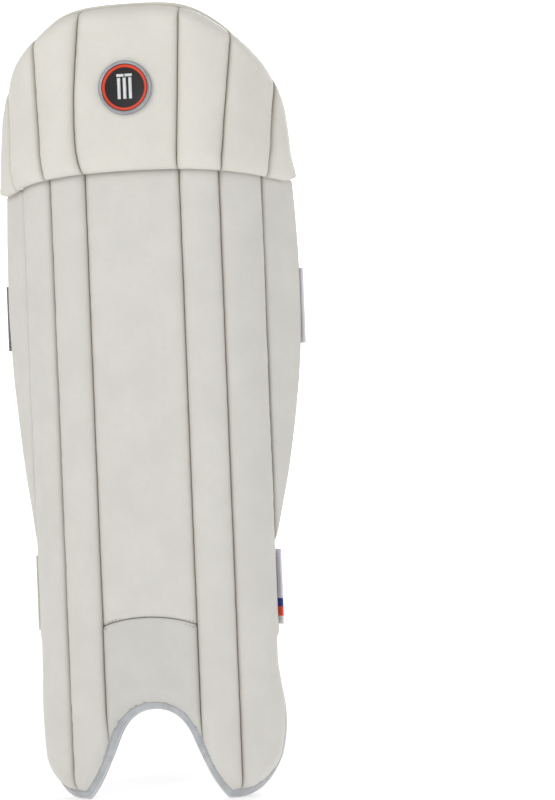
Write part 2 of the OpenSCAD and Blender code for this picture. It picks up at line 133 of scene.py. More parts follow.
def normals(p, closed=False):
    """The unit normal on the left of a line at each of its points."""
    t = np.roll(p, -1, axis=0) - np.roll(p, 1, axis=0) if closed else np.gradient(p, axis=0)
    t /= np.maximum(np.linalg.norm(t, axis=1, keepdims=True), 1e-9)
    return np.stack([-t[:, 1], t[:, 0]], 1)


def distance(points, line):
    """Distance of each 2-D point from a line of points."""
    line = np.asarray(line, float)
    a, ab = line[:-1], np.diff(line, axis=0)
    size = np.maximum((ab ** 2).sum(1), 1e-12)
    out = np.empty(len(points))
    for k in range(0, len(points), 3000):
        p = points[k:k + 3000, None, :] - a[None]
        t = np.clip((p * ab[None]).sum(2) / size, 0, 1)
        out[k:k + 3000] = np.sqrt(((p - t[..., None] * ab[None]) ** 2).sum(2)).min(1)
    return out


def inside(points, loop):
    """Which 2-D points lie inside a closed loop."""
    x, y = points[:, 0], points[:, 1]
    hit = np.zeros(len(points), bool)
    for (x0, y0), (x1, y1) in zip(loop, np.roll(loop, -1, axis=0)):
        cross = (y0 > y) != (y1 > y)
        if y0 != y1:
            hit ^= cross & (x < (x1 - x0) * (y - y0) / (y1 - y0) + x0)
    return hit


def wave(s, z, size_s, size_z, seed):
    """Smooth noise between about -1 and 1."""
    return np.array([noise.noise(Vector((a / size_s, b / size_z, seed))) for a, b in zip(s, z)]) * 1.6


def rounding(e, width):
    """1 at an edge and 0 at width from it, along a quarter circle."""
    t = np.clip(1 - e / width, 0, 1)
    return 1 - np.sqrt(1 - t * t)


def ease(v, a, b):
    t = np.clip((v - a) / (b - a), 0, 1)
    return t * t * (3 - 2 * t)


# ---------- Meshes ----------
def new_object(name, verts, faces, coords=None, shade=None, sharp=40):
    mesh = bpy.data.meshes.new(name)
    mesh.from_pydata([tuple(v) for v in verts], [], [tuple(int(i) for i in f) for f in faces])
    mesh.update()
    bm = bmesh.new()
    bm.from_mesh(mesh)
    bmesh.ops.recalc_face_normals(bm, faces=bm.faces)
    bm.to_mesh(mesh)
    bm.free()
    mesh.polygons.foreach_set("use_smooth", [True] * len(mesh.polygons))
    mesh.set_sharp_from_angle(angle=math.radians(sharp))
    if coords is not None:
        at = mesh.attributes.new("sz", "FLOAT_VECTOR", "POINT")
        at.data.foreach_set("vector", (np.asarray(coords, float) * MM).astype(np.float32).ravel())
    # The crease attribute holds painted shade: how far each point is darkened at seams, creases and
    # tucked edges.
    if shade is not None:
        at = mesh.attributes.new("crease_shade", "FLOAT", "POINT")
        at.data.foreach_set("value", np.asarray(shade, np.float32))
    obj = bpy.data.objects.new(name, mesh)
    bpy.context.scene.collection.objects.link(obj)
    return obj


RINGS = (0.25, 0.7, 1.4, 2.4, 3.6, 5.2)


def fill(outline, step, rings=RINGS, columns=()):
    """Triangles inside a closed outline of labelled lines: points, triangles and edge lines."""
    lines = {}
    loop = []
    for label, pts in outline:
        pts = resample([tuple(p) for p in pts], 2.2)
        lines.setdefault(label, []).append(pts)
        loop.extend(pts[:-1])
    loop = np.array(loop)
    closed = np.vstack([loop, loop[:1]])
    area = 0.5 * np.sum(loop[:, 0] * np.roll(loop[:, 1], -1) - np.roll(loop[:, 0], -1) * loop[:, 1])
    n = normals(loop, True) * (1 if area > 0 else -1)
    extra = []
    for r in rings:
        ring = loop + n * r
        keep = inside(ring, loop)
        ring = ring[keep]
        extra.append(ring[distance(ring, closed) > 0.9 * r])
    lo, hi = loop.min(0), loop.max(0)
    g = np.array([(x, y) for x in np.arange(lo[0] + step / 2, hi[0], step)
                  for y in np.arange(lo[1] + step / 2, hi[1], step)])
    g = g[inside(g, loop)]
    g = g[distance(g, closed) > (rings[-1] if rings else 0) + 0.55 * step]
    extra.append(g)
    pts = np.vstack([loop] + extra)
    order = list(range(len(loop)))[::-1 if area < 0 else 1]
    out = delaunay_2d_cdt([Vector(p) for p in pts], [], [order], 1, 1e-5)
    co = np.array([tuple(v) for v in out[0]])
    tris = np.array([f for f in out[2] if len(f) == 3])
    e = {label: np.min([distance(co, l) for l in ls], axis=0) for label, ls in lines.items()}
    return co, tris, e


def closed_panel(name, outline, depths, place=on_section, step=3.0, rings=RINGS, sharp=50):
    """A closed soft form over an outline; depths gives front, back and painted crease shade at its
    points.
    """
    co, tris, e = fill(outline, step, rings)
    s, z = co[:, 0], co[:, 1]
    near, far, crease_shade = depths(s, z, e)
    n = len(co)
    count = {}
    for f in tris:
        for a, b in ((f[0], f[1]), (f[1], f[2]), (f[2], f[0])):
            count[(a, b)] = count.get((a, b), 0) + 1
    rim = [(a, b) for (a, b) in count if (b, a) not in count]
    faces = [tuple(f) for f in tris] + [tuple(f[::-1] + n) for f in tris]
    faces += [(b, a, a + n, b + n) for a, b in rim]
    verts = np.vstack([place(s, z, near), place(s, z, far)])
    coords = np.vstack([np.stack([arc_length(s, near), z, near], 1),
                        np.stack([arc_length(s, far), z, far], 1)])
    return new_object(name, verts, faces, coords, np.concatenate([crease_shade, crease_shade]), sharp)


def tube_faces(m, n, closed=False):
    """Faces of a tube of m lines of n points each, with its ends capped unless it's closed."""
    faces = []
    for j in range(m):
        k = (j + 1) % m
        for i in range(n if closed else n - 1):
            i2 = (i + 1) % n
            faces.append((j * n + i, j * n + i2, k * n + i2, k * n + i))
    if not closed:
        faces.append(tuple(j * n for j in range(m)))
        faces.append(tuple(j * n + n - 1 for j in reversed(range(m))))
    return faces


def sweep(name, path, profile, place=on_section, closed=False, crease_shade=0.0, step=2.0, sharp=50,
          vary=None):
    """A profile of (offset, depth) swept along a path of (s, z); vary may change it on the way."""
    p = resample([tuple(q) for q in path], step, closed)
    n = len(p)
    nrm = normals(p, closed)
    m = len(profile)
    rows = [(np.full(n, q[0]), np.full(n, q[1])) for q in profile]
    if vary:
        rows = [vary(a, b, p[:, 0], p[:, 1]) for a, b in rows]
    s = np.concatenate([p[:, 0] + nrm[:, 0] * a for a, b in rows])
    z = np.concatenate([p[:, 1] + nrm[:, 1] * a for a, b in rows])
    d = np.concatenate([b for a, b in rows])
    verts = place(s, z, d)
    faces = tube_faces(m, n, closed)
    along = np.tile(np.concatenate([[0], np.cumsum(np.linalg.norm(np.diff(p, axis=0), axis=1))]), m)
    across = np.concatenate([np.full(n, q[0] + q[1]) for q in profile])
    coords = np.stack([along, across, 0 * along], 1)
    return new_object(name, verts, faces, coords, np.full(len(verts), crease_shade), sharp)


def circle(r, cx=0.0, cy=0.0, n=10):
    return [(cx + r * math.cos(2 * math.pi * i / n), cy + r * math.sin(2 * math.pi * i / n))
            for i in range(n)]


def stitches(name, path, depth, place=on_section, length=2.4, pitch=3.4, r=0.33):
    """A row of thread stitches along a path of (s, z); depth may be a function of (s, z)."""
    p = resample([tuple(q) for q in path], pitch)
    mid = (p[:-1] + p[1:]) / 2
    t = np.diff(p, axis=0)
    t /= np.maximum(np.linalg.norm(t, axis=1, keepdims=True), 1e-9)
    nrm = np.stack([-t[:, 1], t[:, 0]], 1)
    verts, faces = [], []
    along = [(-0.5, 0.15), (-0.34, 0.9), (0.0, 1.15), (0.34, 0.9), (0.5, 0.15)]
    for c, tt, nn in zip(mid, t, nrm):
        base = len(verts)
        q, dd = [], []
        d0 = depth(np.array([c[0]]), np.array([c[1]]))[0] if callable(depth) else depth
        for a, k in along:
            for j in range(6):
                w = j * math.pi / 3
                o = r * k * math.cos(w)
                q.append(c + tt * a * length + nn * o)
                dd.append(d0 + r * k * math.sin(w))
        q = np.array(q)
        verts.extend(place(q[:, 0], q[:, 1], np.array(dd)))
        for a in range(len(along) - 1):
            for j in range(6):
                faces.append((base + a * 6 + j, base + a * 6 + (j + 1) % 6,
                              base + (a + 1) * 6 + (j + 1) % 6, base + (a + 1) * 6 + j))
        faces.append(tuple(base + j for j in reversed(range(6))))
        faces.append(tuple(base + 24 + j for j in range(6)))
    return new_object(name, verts, faces, np.array(verts) / MM, None, 80)


# ---------- Materials ----------
class Mat:
    """A node material, written as nested calls."""

    def __init__(self, name, rough=0.6, specular=0.4, **inputs):
        self.m = bpy.data.materials.new(name)
        self.m.use_nodes = True
        self.t = self.m.node_tree
        self.b = self.t.nodes["Principled BSDF"]
        self.set("Roughness", rough)
        self.set("Specular IOR Level", specular)
        for k, v in inputs.items():
            self.set(k.replace("_", " "), v)
        self._sz = None

    def set(self, key, value):
        self.link(self.b.inputs[key], value)

    def link(self, socket, value):
        if isinstance(value, bpy.types.NodeSocket):
            self.t.links.new(value, socket)
        elif isinstance(value, (tuple, list)) and len(value) == 3 and socket.type == "RGBA":
            socket.default_value = (*value, 1)
        else:
            socket.default_value = value

    def node(self, kind, **props):
        n = self.t.nodes.new(kind)
        for k, v in props.items():
            setattr(n, k, v)
        return n

    def math(self, op, a, b=0.0, c=None):
        n = self.node("ShaderNodeMath", operation=op)
        self.link(n.inputs[0], a)
        self.link(n.inputs[1], b)
        if c is not None:
            self.link(n.inputs[2], c)
        return n.outputs[0]

    def vec(self, op, a, b=(0, 0, 0), out=0):
        n = self.node("ShaderNodeVectorMath", operation=op)
        self.link(n.inputs[0], a)
        self.link(n.inputs[1], b)
        return n.outputs[out]

    def mix(self, fac, a, b):
        n = self.node("ShaderNodeMix", data_type="RGBA")
        self.link(n.inputs["Factor"], fac)
        self.link(n.inputs[6], a)
        self.link(n.inputs[7], b)
        return n.outputs[2]

    def ramp(self, value, a, b, to0=0.0, to1=1.0):
        n = self.node("ShaderNodeMapRange", interpolation_type="SMOOTHSTEP")
        for k, v in zip(range(5), (value, a, b, to0, to1)):
            self.link(n.inputs[k], v)
        return n.outputs[0]

    def sz(self):
        """Place on the surface, in metres: along, up, depth."""
        if self._sz is None:
            self._sz = self.node("ShaderNodeAttribute", attribute_name="sz").outputs["Vector"]
        return self._sz

    def place(self):
        return self.node("ShaderNodeTexCoord").outputs["Object"]

    # Painted shade: the crease attribute, which darkens a surface at its seams, creases and tucked
    # edges.
    def crease_shade(self):
        return self.node("ShaderNodeAttribute", attribute_name="crease_shade").outputs["Fac"]

    def split(self, v):
        n = self.node("ShaderNodeSeparateXYZ")
        self.link(n.inputs[0], v)
        return n.outputs

    def noise(self, v, scale, detail=3.0, rough=0.5):
        n = self.node("ShaderNodeTexNoise")
        self.link(n.inputs["Vector"], v)
        self.link(n.inputs["Scale"], scale)
        self.link(n.inputs["Detail"], detail)
        self.link(n.inputs["Roughness"], rough)
        return n.outputs["Fac"]

    def cells(self, v, scale, feature="DISTANCE_TO_EDGE"):
        n = self.node("ShaderNodeTexVoronoi", feature=feature)
        self.link(n.inputs["Vector"], v)
        self.link(n.inputs["Scale"], scale)
        return n.outputs["Distance"]

    def bump(self, *layers):
        """Stacks height layers of (height, strength, distance in metres)."""
        normal = None
        for height, strength, dist in layers:
            n = self.node("ShaderNodeBump")
            self.link(n.inputs["Strength"], strength)
            self.link(n.inputs["Distance"], dist)
            self.link(n.inputs["Height"], height)
            if normal is not None:
                self.link(n.inputs["Normal"], normal)
            normal = n.outputs[0]
        self.set("Normal", normal)

    def hexes(self, v, pitch):
        """Distance from the nearest cell's edge of a hexagon lattice, 0 at the edge, 0.5 inside."""
        s = self.split(v)
        flat = self.node("ShaderNodeCombineXYZ")
        self.link(flat.inputs[0], s[1])
        self.link(flat.inputs[1], s[0])
        p = self.vec("MULTIPLY", flat.outputs[0], (1 / pitch, 1 / pitch, 0))
        p = self.vec("ADD", p, (500, 866, 0))  # keeps the lattice clear of zero
        r, h = (1, math.sqrt(3), 1), (0.5, math.sqrt(3) / 2, 0)
        a = self.vec("SUBTRACT", self.vec("MODULO", p, r), h)
        b = self.vec("SUBTRACT", self.vec("MODULO", self.vec("SUBTRACT", p, h), r), h)
        dot = [self.vec("DOT_PRODUCT", v, v, 1) for v in (a, b)]
        n = self.node("ShaderNodeMix", data_type="VECTOR")
        self.link(n.inputs["Factor"], self.math("LESS_THAN", *dot))
        self.link(n.inputs[4], b)
        self.link(n.inputs[5], a)
        g = self.vec("ABSOLUTE", n.outputs[1])
        far = self.math("MAXIMUM", self.vec("DOT_PRODUCT", g, h, 1), self.split(g)[0])
        return self.math("SUBTRACT", 0.5, far)

    def side(self, p, q, width=0.0004):
        """1 on the left of the line from p to q in the (across, up) plane, in mm, 0 on its right."""
        d = math.hypot(q[0] - p[0], q[1] - p[1])
        nx, nz = -(q[1] - p[1]) / d, (q[0] - p[0]) / d
        s = self.split(self.flat)
        v = self.math("ADD", self.math("MULTIPLY", s[0], nx), self.math("MULTIPLY", s[1], nz))
        v = self.math("SUBTRACT", v, (nx * p[0] + nz * p[1]) * MM)
        return self.ramp(v, -width, width)


def lin(r, g, b):
    """sRGB 0..255 to linear."""
    return tuple(((c / 255 + 0.055) / 1.055) ** 2.4 if c > 10 else c / 3294 for c in (r, g, b))


def leather(name, base, dark, grain=1.0):
    """Cream PVC facing: fine pebble grain and soft mottling, with painted shade darkening it in the
    creases and along the seams.
    """
    k = Mat(name, 0.5, 0.35)
    v = k.sz()
    mottle = k.ramp(k.noise(v, 26, 3), 0.3, 0.7)
    tone = k.mix(mottle, base, tuple(c * 0.95 for c in base))
    tone = k.mix(k.math("MULTIPLY", k.ramp(k.noise(v, 160, 4), 0.35, 0.75), 0.35), tone,
                 tuple(c * w for c, w in zip(base, (0.955, 0.94, 0.9))))
    # Painted shade: darker towards the dark colour wherever the crease value marks a seam, crease or
    # rim.
    tone = k.mix(k.math("MULTIPLY", k.crease_shade(), 0.5), tone, dark)
    k.set("Base Color", tone)
    k.set("Roughness", k.ramp(k.noise(v, 90, 3), 0.2, 0.8, 0.42, 0.6))
    pebble = k.ramp(k.cells(v, 950 / grain), 0.0, 0.16)
    k.bump((k.noise(v, 55, 4, 0.55), 0.35, 0.0016), (k.noise(v, 420, 4, 0.6), 0.4, 0.0005),
           (pebble, 0.28, 0.0003))
    return k.m


def mesh_cloth(name, base, hole, pitch, depth=0.5, size=0.24, sheen=0.25):
    """Knitted mesh: rows of small round holes in a hexagon lattice."""
    k = Mat(name, 0.85, 0.2)
    v = k.sz()
    open_ = k.ramp(k.hexes(v, pitch), size, size + 0.14)
    tone = k.mix(k.ramp(k.noise(v, 30, 3), 0.3, 0.7), base, tuple(c * 0.94 for c in base))
    # The holes are the knit's own pattern; their darker hole colour, mixed in by depth, is painted shade
    # inside them.
    tone = k.mix(k.math("MULTIPLY", open_, depth), tone, hole)
    # Painted shade: much darker at seams and tucked edges, by the crease value.
    tone = k.mix(k.math("MULTIPLY", k.crease_shade(), 0.75), tone, tuple(c * 0.35 for c in base))
    k.set("Base Color", tone)
    k.set("Sheen Weight", sheen)
    k.set("Sheen Roughness", 0.5)
    fibre = k.noise(v, 1600, 2)
    k.bump((k.noise(v, 60, 3), 0.3, 0.0015), (k.math("SUBTRACT", 1.0, open_), 0.7, pitch * 0.28),
           (fibre, 0.3, 0.0003))
    return k.m


def stripes_at(k, top, height, tone):
    """Blue over orange bands low on a strap that is so high, with its top at top."""
    z = k.split(k.sz())[1]
    f = k.math("DIVIDE", k.math("SUBTRACT", top * MM, z), height * MM)
    edge = k.math("MULTIPLY", k.noise(k.sz(), 700, 1), 0.008)
    f = k.math("ADD", f, edge)
    blue, red = lin(46, 62, 140), lin(243, 78, 44)
    tone = k.mix(k.ramp(f, 0.652, 0.662), tone, blue)
    tone = k.mix(k.ramp(f, 0.764, 0.772), tone, red)
    return k.mix(k.ramp(f, 0.888, 0.896), tone, lin(222, 220, 224))


def woven(name, base, rib=1100, top=None, height=66.0, rows=900, rough=0.8):
    """Woven strap: fine ribs across and rows along; a stripe pair low down if top is given."""
    k = Mat(name, rough, 0.25)
    v = k.sz()
    s = k.split(v)
    tone = k.mix(k.ramp(k.noise(v, 40, 3), 0.3, 0.7), base, tuple(c * 0.95 for c in base))
    if top is not None:
        tone = stripes_at(k, top, height, tone)
    across = k.math("SINE", k.math("MULTIPLY", s[0], rib * math.pi))
    rows_ = k.math("SINE", k.math("MULTIPLY", s[1], rows * math.pi))
    weave = k.math("MULTIPLY", across, rows_)
    tone = k.mix(k.ramp(weave, -0.2, 0.9, 0.0, 0.1), tone, lin(120, 118, 130))
    # Painted shade: darker where the crease value marks a seam or tucked edge.
    tone = k.mix(k.math("MULTIPLY", k.crease_shade(), 0.5), tone, tuple(c * 0.5 for c in base))
    k.set("Base Color", tone)
    k.set("Sheen Weight", 0.2)
    k.bump((k.noise(v, 90, 3), 0.3, 0.0012), (weave, 0.45, 0.0003), (k.noise(v, 1500, 2), 0.25, 0.0002))
    return k.m


def print_cloth(name, artwork):
    """Smooth printed cover: white with a fine hexagon print and coloured bands."""
    k = Mat(name, 0.55, 0.35)
    v = k.sz()
    p = k.split(k.place())
    c = k.node("ShaderNodeCombineXYZ")
    k.link(c.inputs[0], p[0])
    k.link(c.inputs[1], p[2])
    k.flat = c.outputs[0]
    # Painted shade: a dark red-brown by the crease value, along the centre strip's tucked edges.
    tone = k.mix(k.math("MULTIPLY", k.crease_shade(), 0.7), artwork(k, v), lin(96, 40, 52))
    k.set("Base Color", tone)
    k.set("Roughness", k.ramp(k.noise(v, 80, 3), 0.2, 0.8, 0.45, 0.62))
    k.bump((k.noise(v, 45, 4, 0.6), 0.45, 0.0022), (k.noise(v, 900, 3), 0.25, 0.0003))
    return k.m


def hex_tone(k, v, pitch=0.0077):
    h = k.hexes(v, pitch)
    wob = k.noise(v, 500, 2)
    line = k.ramp(k.math("ADD", h, k.math("MULTIPLY", wob, 0.03)), 0.045, 0.105, 1.0, 0.0)
    faded = k.ramp(k.noise(v, 70, 2), 0.3, 0.75, 0.35, 0.8)
    inner = k.mix(k.ramp(h, 0.1, 0.42), lin(226, 205, 208), lin(222, 218, 221))
    return k.mix(k.math("MULTIPLY", line, faded), inner, lin(222, 112, 122))


BLUE, RED, DEEP = lin(34, 88, 146), lin(236, 66, 48), lin(30, 62, 112)


def dome_print(k, v):
    white = k.mix(k.ramp(k.noise(v, 22, 3), 0.3, 0.7), lin(212, 213, 217), lin(203, 204, 208))
    left = k.side((-96.5, 652.3), (-41.2, 558.6))
    tone = k.mix(left, hex_tone(k, v), white)
    stripe = k.math("MULTIPLY", k.side((-99.6, 650.4), (-44.3, 556.7)),
                    k.math("SUBTRACT", 1.0, k.side((-93.6, 654.1), (-38.4, 560.4))))
    tone = k.mix(stripe, tone, BLUE)
    corner = k.math("SUBTRACT", 1.0, k.side((-126.7, 600.0), (-95.5, 553.5)))
    tone = k.mix(corner, tone, BLUE)
    red = k.math("MULTIPLY", k.math("SUBTRACT", 1.0, k.side((-128.0, 583.0), (-103.5, 553.5))),
                 k.side((-131.0, 578.0), (-109.5, 552.0)))
    tone = k.mix(red, tone, RED)
    x, _, z = k.split(k.place())
    far_corner = k.math("MULTIPLY", k.ramp(x, 0.1, 0.101), k.ramp(z, 0.548, 0.5488, 1.0, 0.0))
    return k.mix(far_corner, tone, BLUE)


def strip_print(k, v):
    tone = hex_tone(k, v)
    stripe = k.math("MULTIPLY", k.math("SUBTRACT", 1.0, k.side((25.0, 254.0), (-26.3, 324.7))),
                    k.side((25.0, 261.8), (-26.3, 332.5)))
    tone = k.mix(stripe, tone, BLUE)
    band = k.side((26.0, 217.0), (-27.0, 272.0))
    tone = k.mix(band, tone, DEEP)
    return k.mix(k.side((26.0, 202.5), (-27.0, 257.0)), tone, RED)


def plain(name, colour, rough, scale=300, bump=0.0003, **inputs):
    """Moulded or pressed surface: slight tone change, scuffs and a fine texture."""
    k = Mat(name, rough, **inputs)
    v = k.place()
    worn = k.ramp(k.noise(v, 60, 4), 0.35, 0.7)
    k.set("Base Color", k.mix(worn, colour, tuple(c * 0.86 for c in colour)))
    k.set("Roughness", k.ramp(k.noise(v, 140, 4), 0.2, 0.8, rough - 0.08, rough + 0.1))
    k.bump((k.noise(v, scale, 4, 0.6), 0.35, bump), (k.noise(v, scale * 6, 2), 0.2, bump / 3))
    return k.m


def tape(name, base):
    """Silver edging tape with a fine crosswise weave and a dull shine."""
    k = Mat(name, 0.42, 0.5, Metallic=0.25)
    v = k.sz()
    s = k.split(v)
    rib = k.math("SINE", k.math("MULTIPLY", s[0], 2 * math.pi * 900))
    tone = k.mix(k.ramp(k.noise(v, 120, 4), 0.3, 0.7), base, tuple(c * 0.82 for c in base))
    k.set("Base Color", k.mix(k.ramp(rib, 0.2, 1.0, 0.0, 0.15), tone, tuple(c * 0.6 for c in base)))
    k.set("Roughness", k.ramp(k.noise(v, 200, 3), 0.2, 0.8, 0.34, 0.55))
    k.bump((k.noise(v, 130, 3), 0.5, 0.0009), (rib, 0.4, 0.0002))
    return k.m


def fuzzy(name, base, scale):
    """Hook or loop tape."""
    k = Mat(name, 0.95, 0.1)
    v = k.place()
    c = k.cells(v, scale, "F1")
    # Painted shade: darker between the hooks and loops, where the bump sits lowest.
    k.set("Base Color", k.mix(k.ramp(c, 0.1, 0.6), base, tuple(x * 0.45 for x in base)))
    k.set("Sheen Weight", 0.4)
    k.bump((k.math("SUBTRACT", 1.0, c), 0.9, 0.0006), (k.noise(v, 3000, 2), 0.5, 0.0003))
    return k.m


M = {
    # One cream facing in three tones: the knee copy lighter and the instep copy darker than the shin's;
    # the knee's extra is painted light, the instep's loss painted shade.
    "facing": leather("facing", lin(212, 210, 204), lin(150, 142, 126)),
    "knee": leather("knee_facing", lin(219, 217, 209), lin(150, 142, 126)),
    "instep": leather("instep_facing", lin(204, 203, 198), lin(150, 142, 126), 1.1),
    "piping": leather("piping", lin(214, 211, 202), lin(150, 142, 128), 0.8),
    "lining": mesh_cloth("lining", lin(104, 99, 112), lin(50, 46, 58), 0.0016, 0.6, 0.2, 0.2),
    "bolster": mesh_cloth("bolster_mesh", lin(209, 208, 214), lin(140, 138, 152), 0.0019, 0.4, 0.24),
    "spacer": mesh_cloth("spacer_mesh", lin(214, 213, 222), lin(108, 104, 124), 0.0037, 0.75, 0.2),
    "binding": tape("binding", lin(186, 189, 194)),
    "elastic": woven("elastic", lin(214, 213, 221), 700, 454.0),
    "webbing": woven("webbing", lin(216, 213, 224), 900, 210.0, rows=620),
    "ribbed": woven("ribbed_elastic", lin(226, 223, 215), 500, None, rows=300),
    "patch": leather("patch", lin(226, 221, 210), lin(150, 140, 124), 0.7),
    "back": print_cloth("back_panel", dome_print),
    "strip": print_cloth("strip_print", strip_print),
    "loop": fuzzy("loop_tape", lin(196, 194, 200), 900),
    "hook": fuzzy("hook_tape", lin(150, 148, 156), 700),
    "ring": plain("ring_plastic", lin(228, 227, 224), 0.34, 220, 0.0004),
    "rubber": plain("badge_rubber", lin(26, 26, 29), 0.45, 500, 0.0002),
    "silver": plain("badge_silver", lin(168, 171, 176), 0.32, 400, 0.0002, Metallic=0.6),
    "orange": plain("badge_orange", lin(226, 72, 44), 0.42, 400, 0.0002),
    "white": plain("badge_white", lin(225, 226, 228), 0.4, 400, 0.0002),
    "thread": plain("thread", lin(176, 172, 160), 0.7, 1500, 0.0002),
    "white_thread": plain("white_thread", lin(232, 231, 232), 0.7, 1500, 0.0002),
    "black": plain("black_inlay", lin(24, 24, 27), 0.4, 500, 0.0002),
}


def finish_piece(obj, mat, slot, body, *nodes):
    obj.data.materials.append(M[mat])
    if body:
        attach(obj, body)
    if nodes:
        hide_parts(*nodes)
    return obj


# ---------- Outlines, from the middle out, in (s, z) ----------
def foot_line():
    raw = curve((0, 78), (16, 78), (26, 68), (32, 54), (37, 42), (46, 18), (62, 2), (65, 0), (68, 0),
                (71, 0), (93, 0), (104, 14), (108.5, 30), (110.8, 40), (111.8, 50), (111.8, 62),
                (111.8, 85), (106.4, 98), (106.4, 122), n=(14, 14, 5, 14, 14, 14)) + [(106.4, 132)]
    return [(s_at(x, 4.2 - 3.0 * float(side_share(z))), max(z, 0.6)) for x, z in raw]


def side_share(z):
    """0 round the foot and 1 up the sides, where the edge grows from thin to full thickness."""
    return ease(np.asarray(z, float), 25, 95)


def up_side(s, z):
    """side_share at the sides and 0 in the scoop."""
    return np.where(np.abs(s) > 80, side_share(z), 0.0)


FOOT = foot_line()
SIDE = [(s_at(x, 1.2 * (1 - float(ease(z, 132, 160)))), z)
        for x, z in curve((106.4, 132), (106.5, 150), (106.8, 185), (107.1, 215))[:-1]]
SIDE += [(S_WING, 215), (S_WING, 536.5)]
SHIN_TOP = 541.0
RIB_BACK, LINING_BACK = 21.9, 24.0  # depths at which the ribs and the lining behind them end
SIDE_Z = 212  # the ribs' sides are free of the wings below this height


def clip(line, a, b):
    """The part of a line between s = a and s = b, where s grows along it."""
    s = np.array([p[0] for p in line])
    z = np.array([p[1] for p in line])
    mid = [(p[0], p[1]) for p in line if a < p[0] < b]
    return [(a, float(np.interp(a, s, z)))] + mid + [(b, float(np.interp(b, s, z)))]


def flip(outline):
    """The mirror image of a labelled outline."""
    return [(label, mirror(pts)) for label, pts in reversed(outline)]


def growing(line):
    """The first stretch of a line along which s grows."""
    out = [line[0]]
    for p in line[1:]:
        if p[0] <= out[-1][0]:
            break
        out.append(p)
    return out


LOW = growing(FOOT)
ARCH = curve((-41, 150), (-20.5, 160), (20.5, 160), (41, 150))


def rib_outline(low, a, b, top):
    """Outline, anticlockwise, of a rib with seams at a and b over the foot's edge low."""
    return [("rim", low), ("seam", [low[-1], (b, top)]), ("top", [(b, top), (a, top)]),
            ("seam", [(a, top), low[0]])]


def outer_outline(a, side, top):
    """Outline, anticlockwise, of the outer rib on the right, with its seam at a."""
    start = clip(LOW, a, 200)[0]
    rim = [start] + FOOT[max(i for i, q in enumerate(LOW) if q[0] <= a) + 1:]
    return [("rim", rim), ("side", side), ("top", [side[-1], (a, top)]), ("seam", [(a, top), start])]


def scoop_line(b):
    """The foot's edge across the scoop, from -b to b."""
    low = clip(LOW, 0, b)
    return mirror(low) + low[1:]


def whole_rim(e, s, z):
    """The distances with the rim's measured to the whole edge of the foot, past the seams."""
    if "rim" not in e:
        return e
    return dict(e, rim=distance(np.stack([np.abs(s), z], 1), FOOT))


def rim_shape(e, width=15.0, flat=7.0):
    return rounding(e - flat, width)


def both_size(*parts):
    return np.sqrt(sum(np.square(p) for p in parts))


def rim_part(e, s, z):
    """How far the rim rules the front, and the depth it sets: thin round the foot, fuller above."""
    up = up_side(s, z)
    share = rounding(e - (7.0 - 4.6 * up), 15.0 - 8.0 * up)
    return share, share * (9.2 - 4.6 * up + 0.22 * np.clip(7 - e, 0, 7))


def rib_depths(a, b, seed, crown=1.0, seam_w=6.5, seam_d=4.4, lift=0.0):
    def depths(s, z, e):
        e = whole_rim(e, s, z)
        u = np.clip((np.abs(s) - (a + b) / 2) / ((b - a) / 2), -1, 1)
        seam = e.get("seam", FAR_OFF)
        side = e.get("side", FAR_OFF)
        w = np.where(z > SIDE_Z, 1.0, 0.55)
        rim, depth = rim_part(e.get("rim", FAR_OFF), s, z)
        near = both_size(seam_d * rounding(seam, seam_w), w * 4.2 * rounding(side, 5.0),
                         2.0 * rounding(e.get("top", FAR_OFF), 5.0))
        near -= crown * (1 - u * u) + lift
        side = np.where(z > SIDE_Z, side, FAR_OFF)
        edge = np.minimum(seam, side)
        pucker = wave(s, z, 30, 7, seed + 5) * np.exp(-edge / 6) * 0.35
        near += wave(s, z, 26, 60, seed) * 0.28 + wave(s, z, 9, 22, seed + 2) * 0.10 + pucker
        near = near * (1 - rim) + depth
        far = RIB_BACK - 7.2 * rim_shape(e.get("rim", FAR_OFF))
        # Painted shade: darkening along the seams and along the sides by the wings.
        crease_shade = np.exp(-seam / 1.5) + 0.6 * np.exp(-side / 1.2)
        return near, np.maximum(far, near + 1.5), np.clip(crease_shade, 0, 1)
    return depths


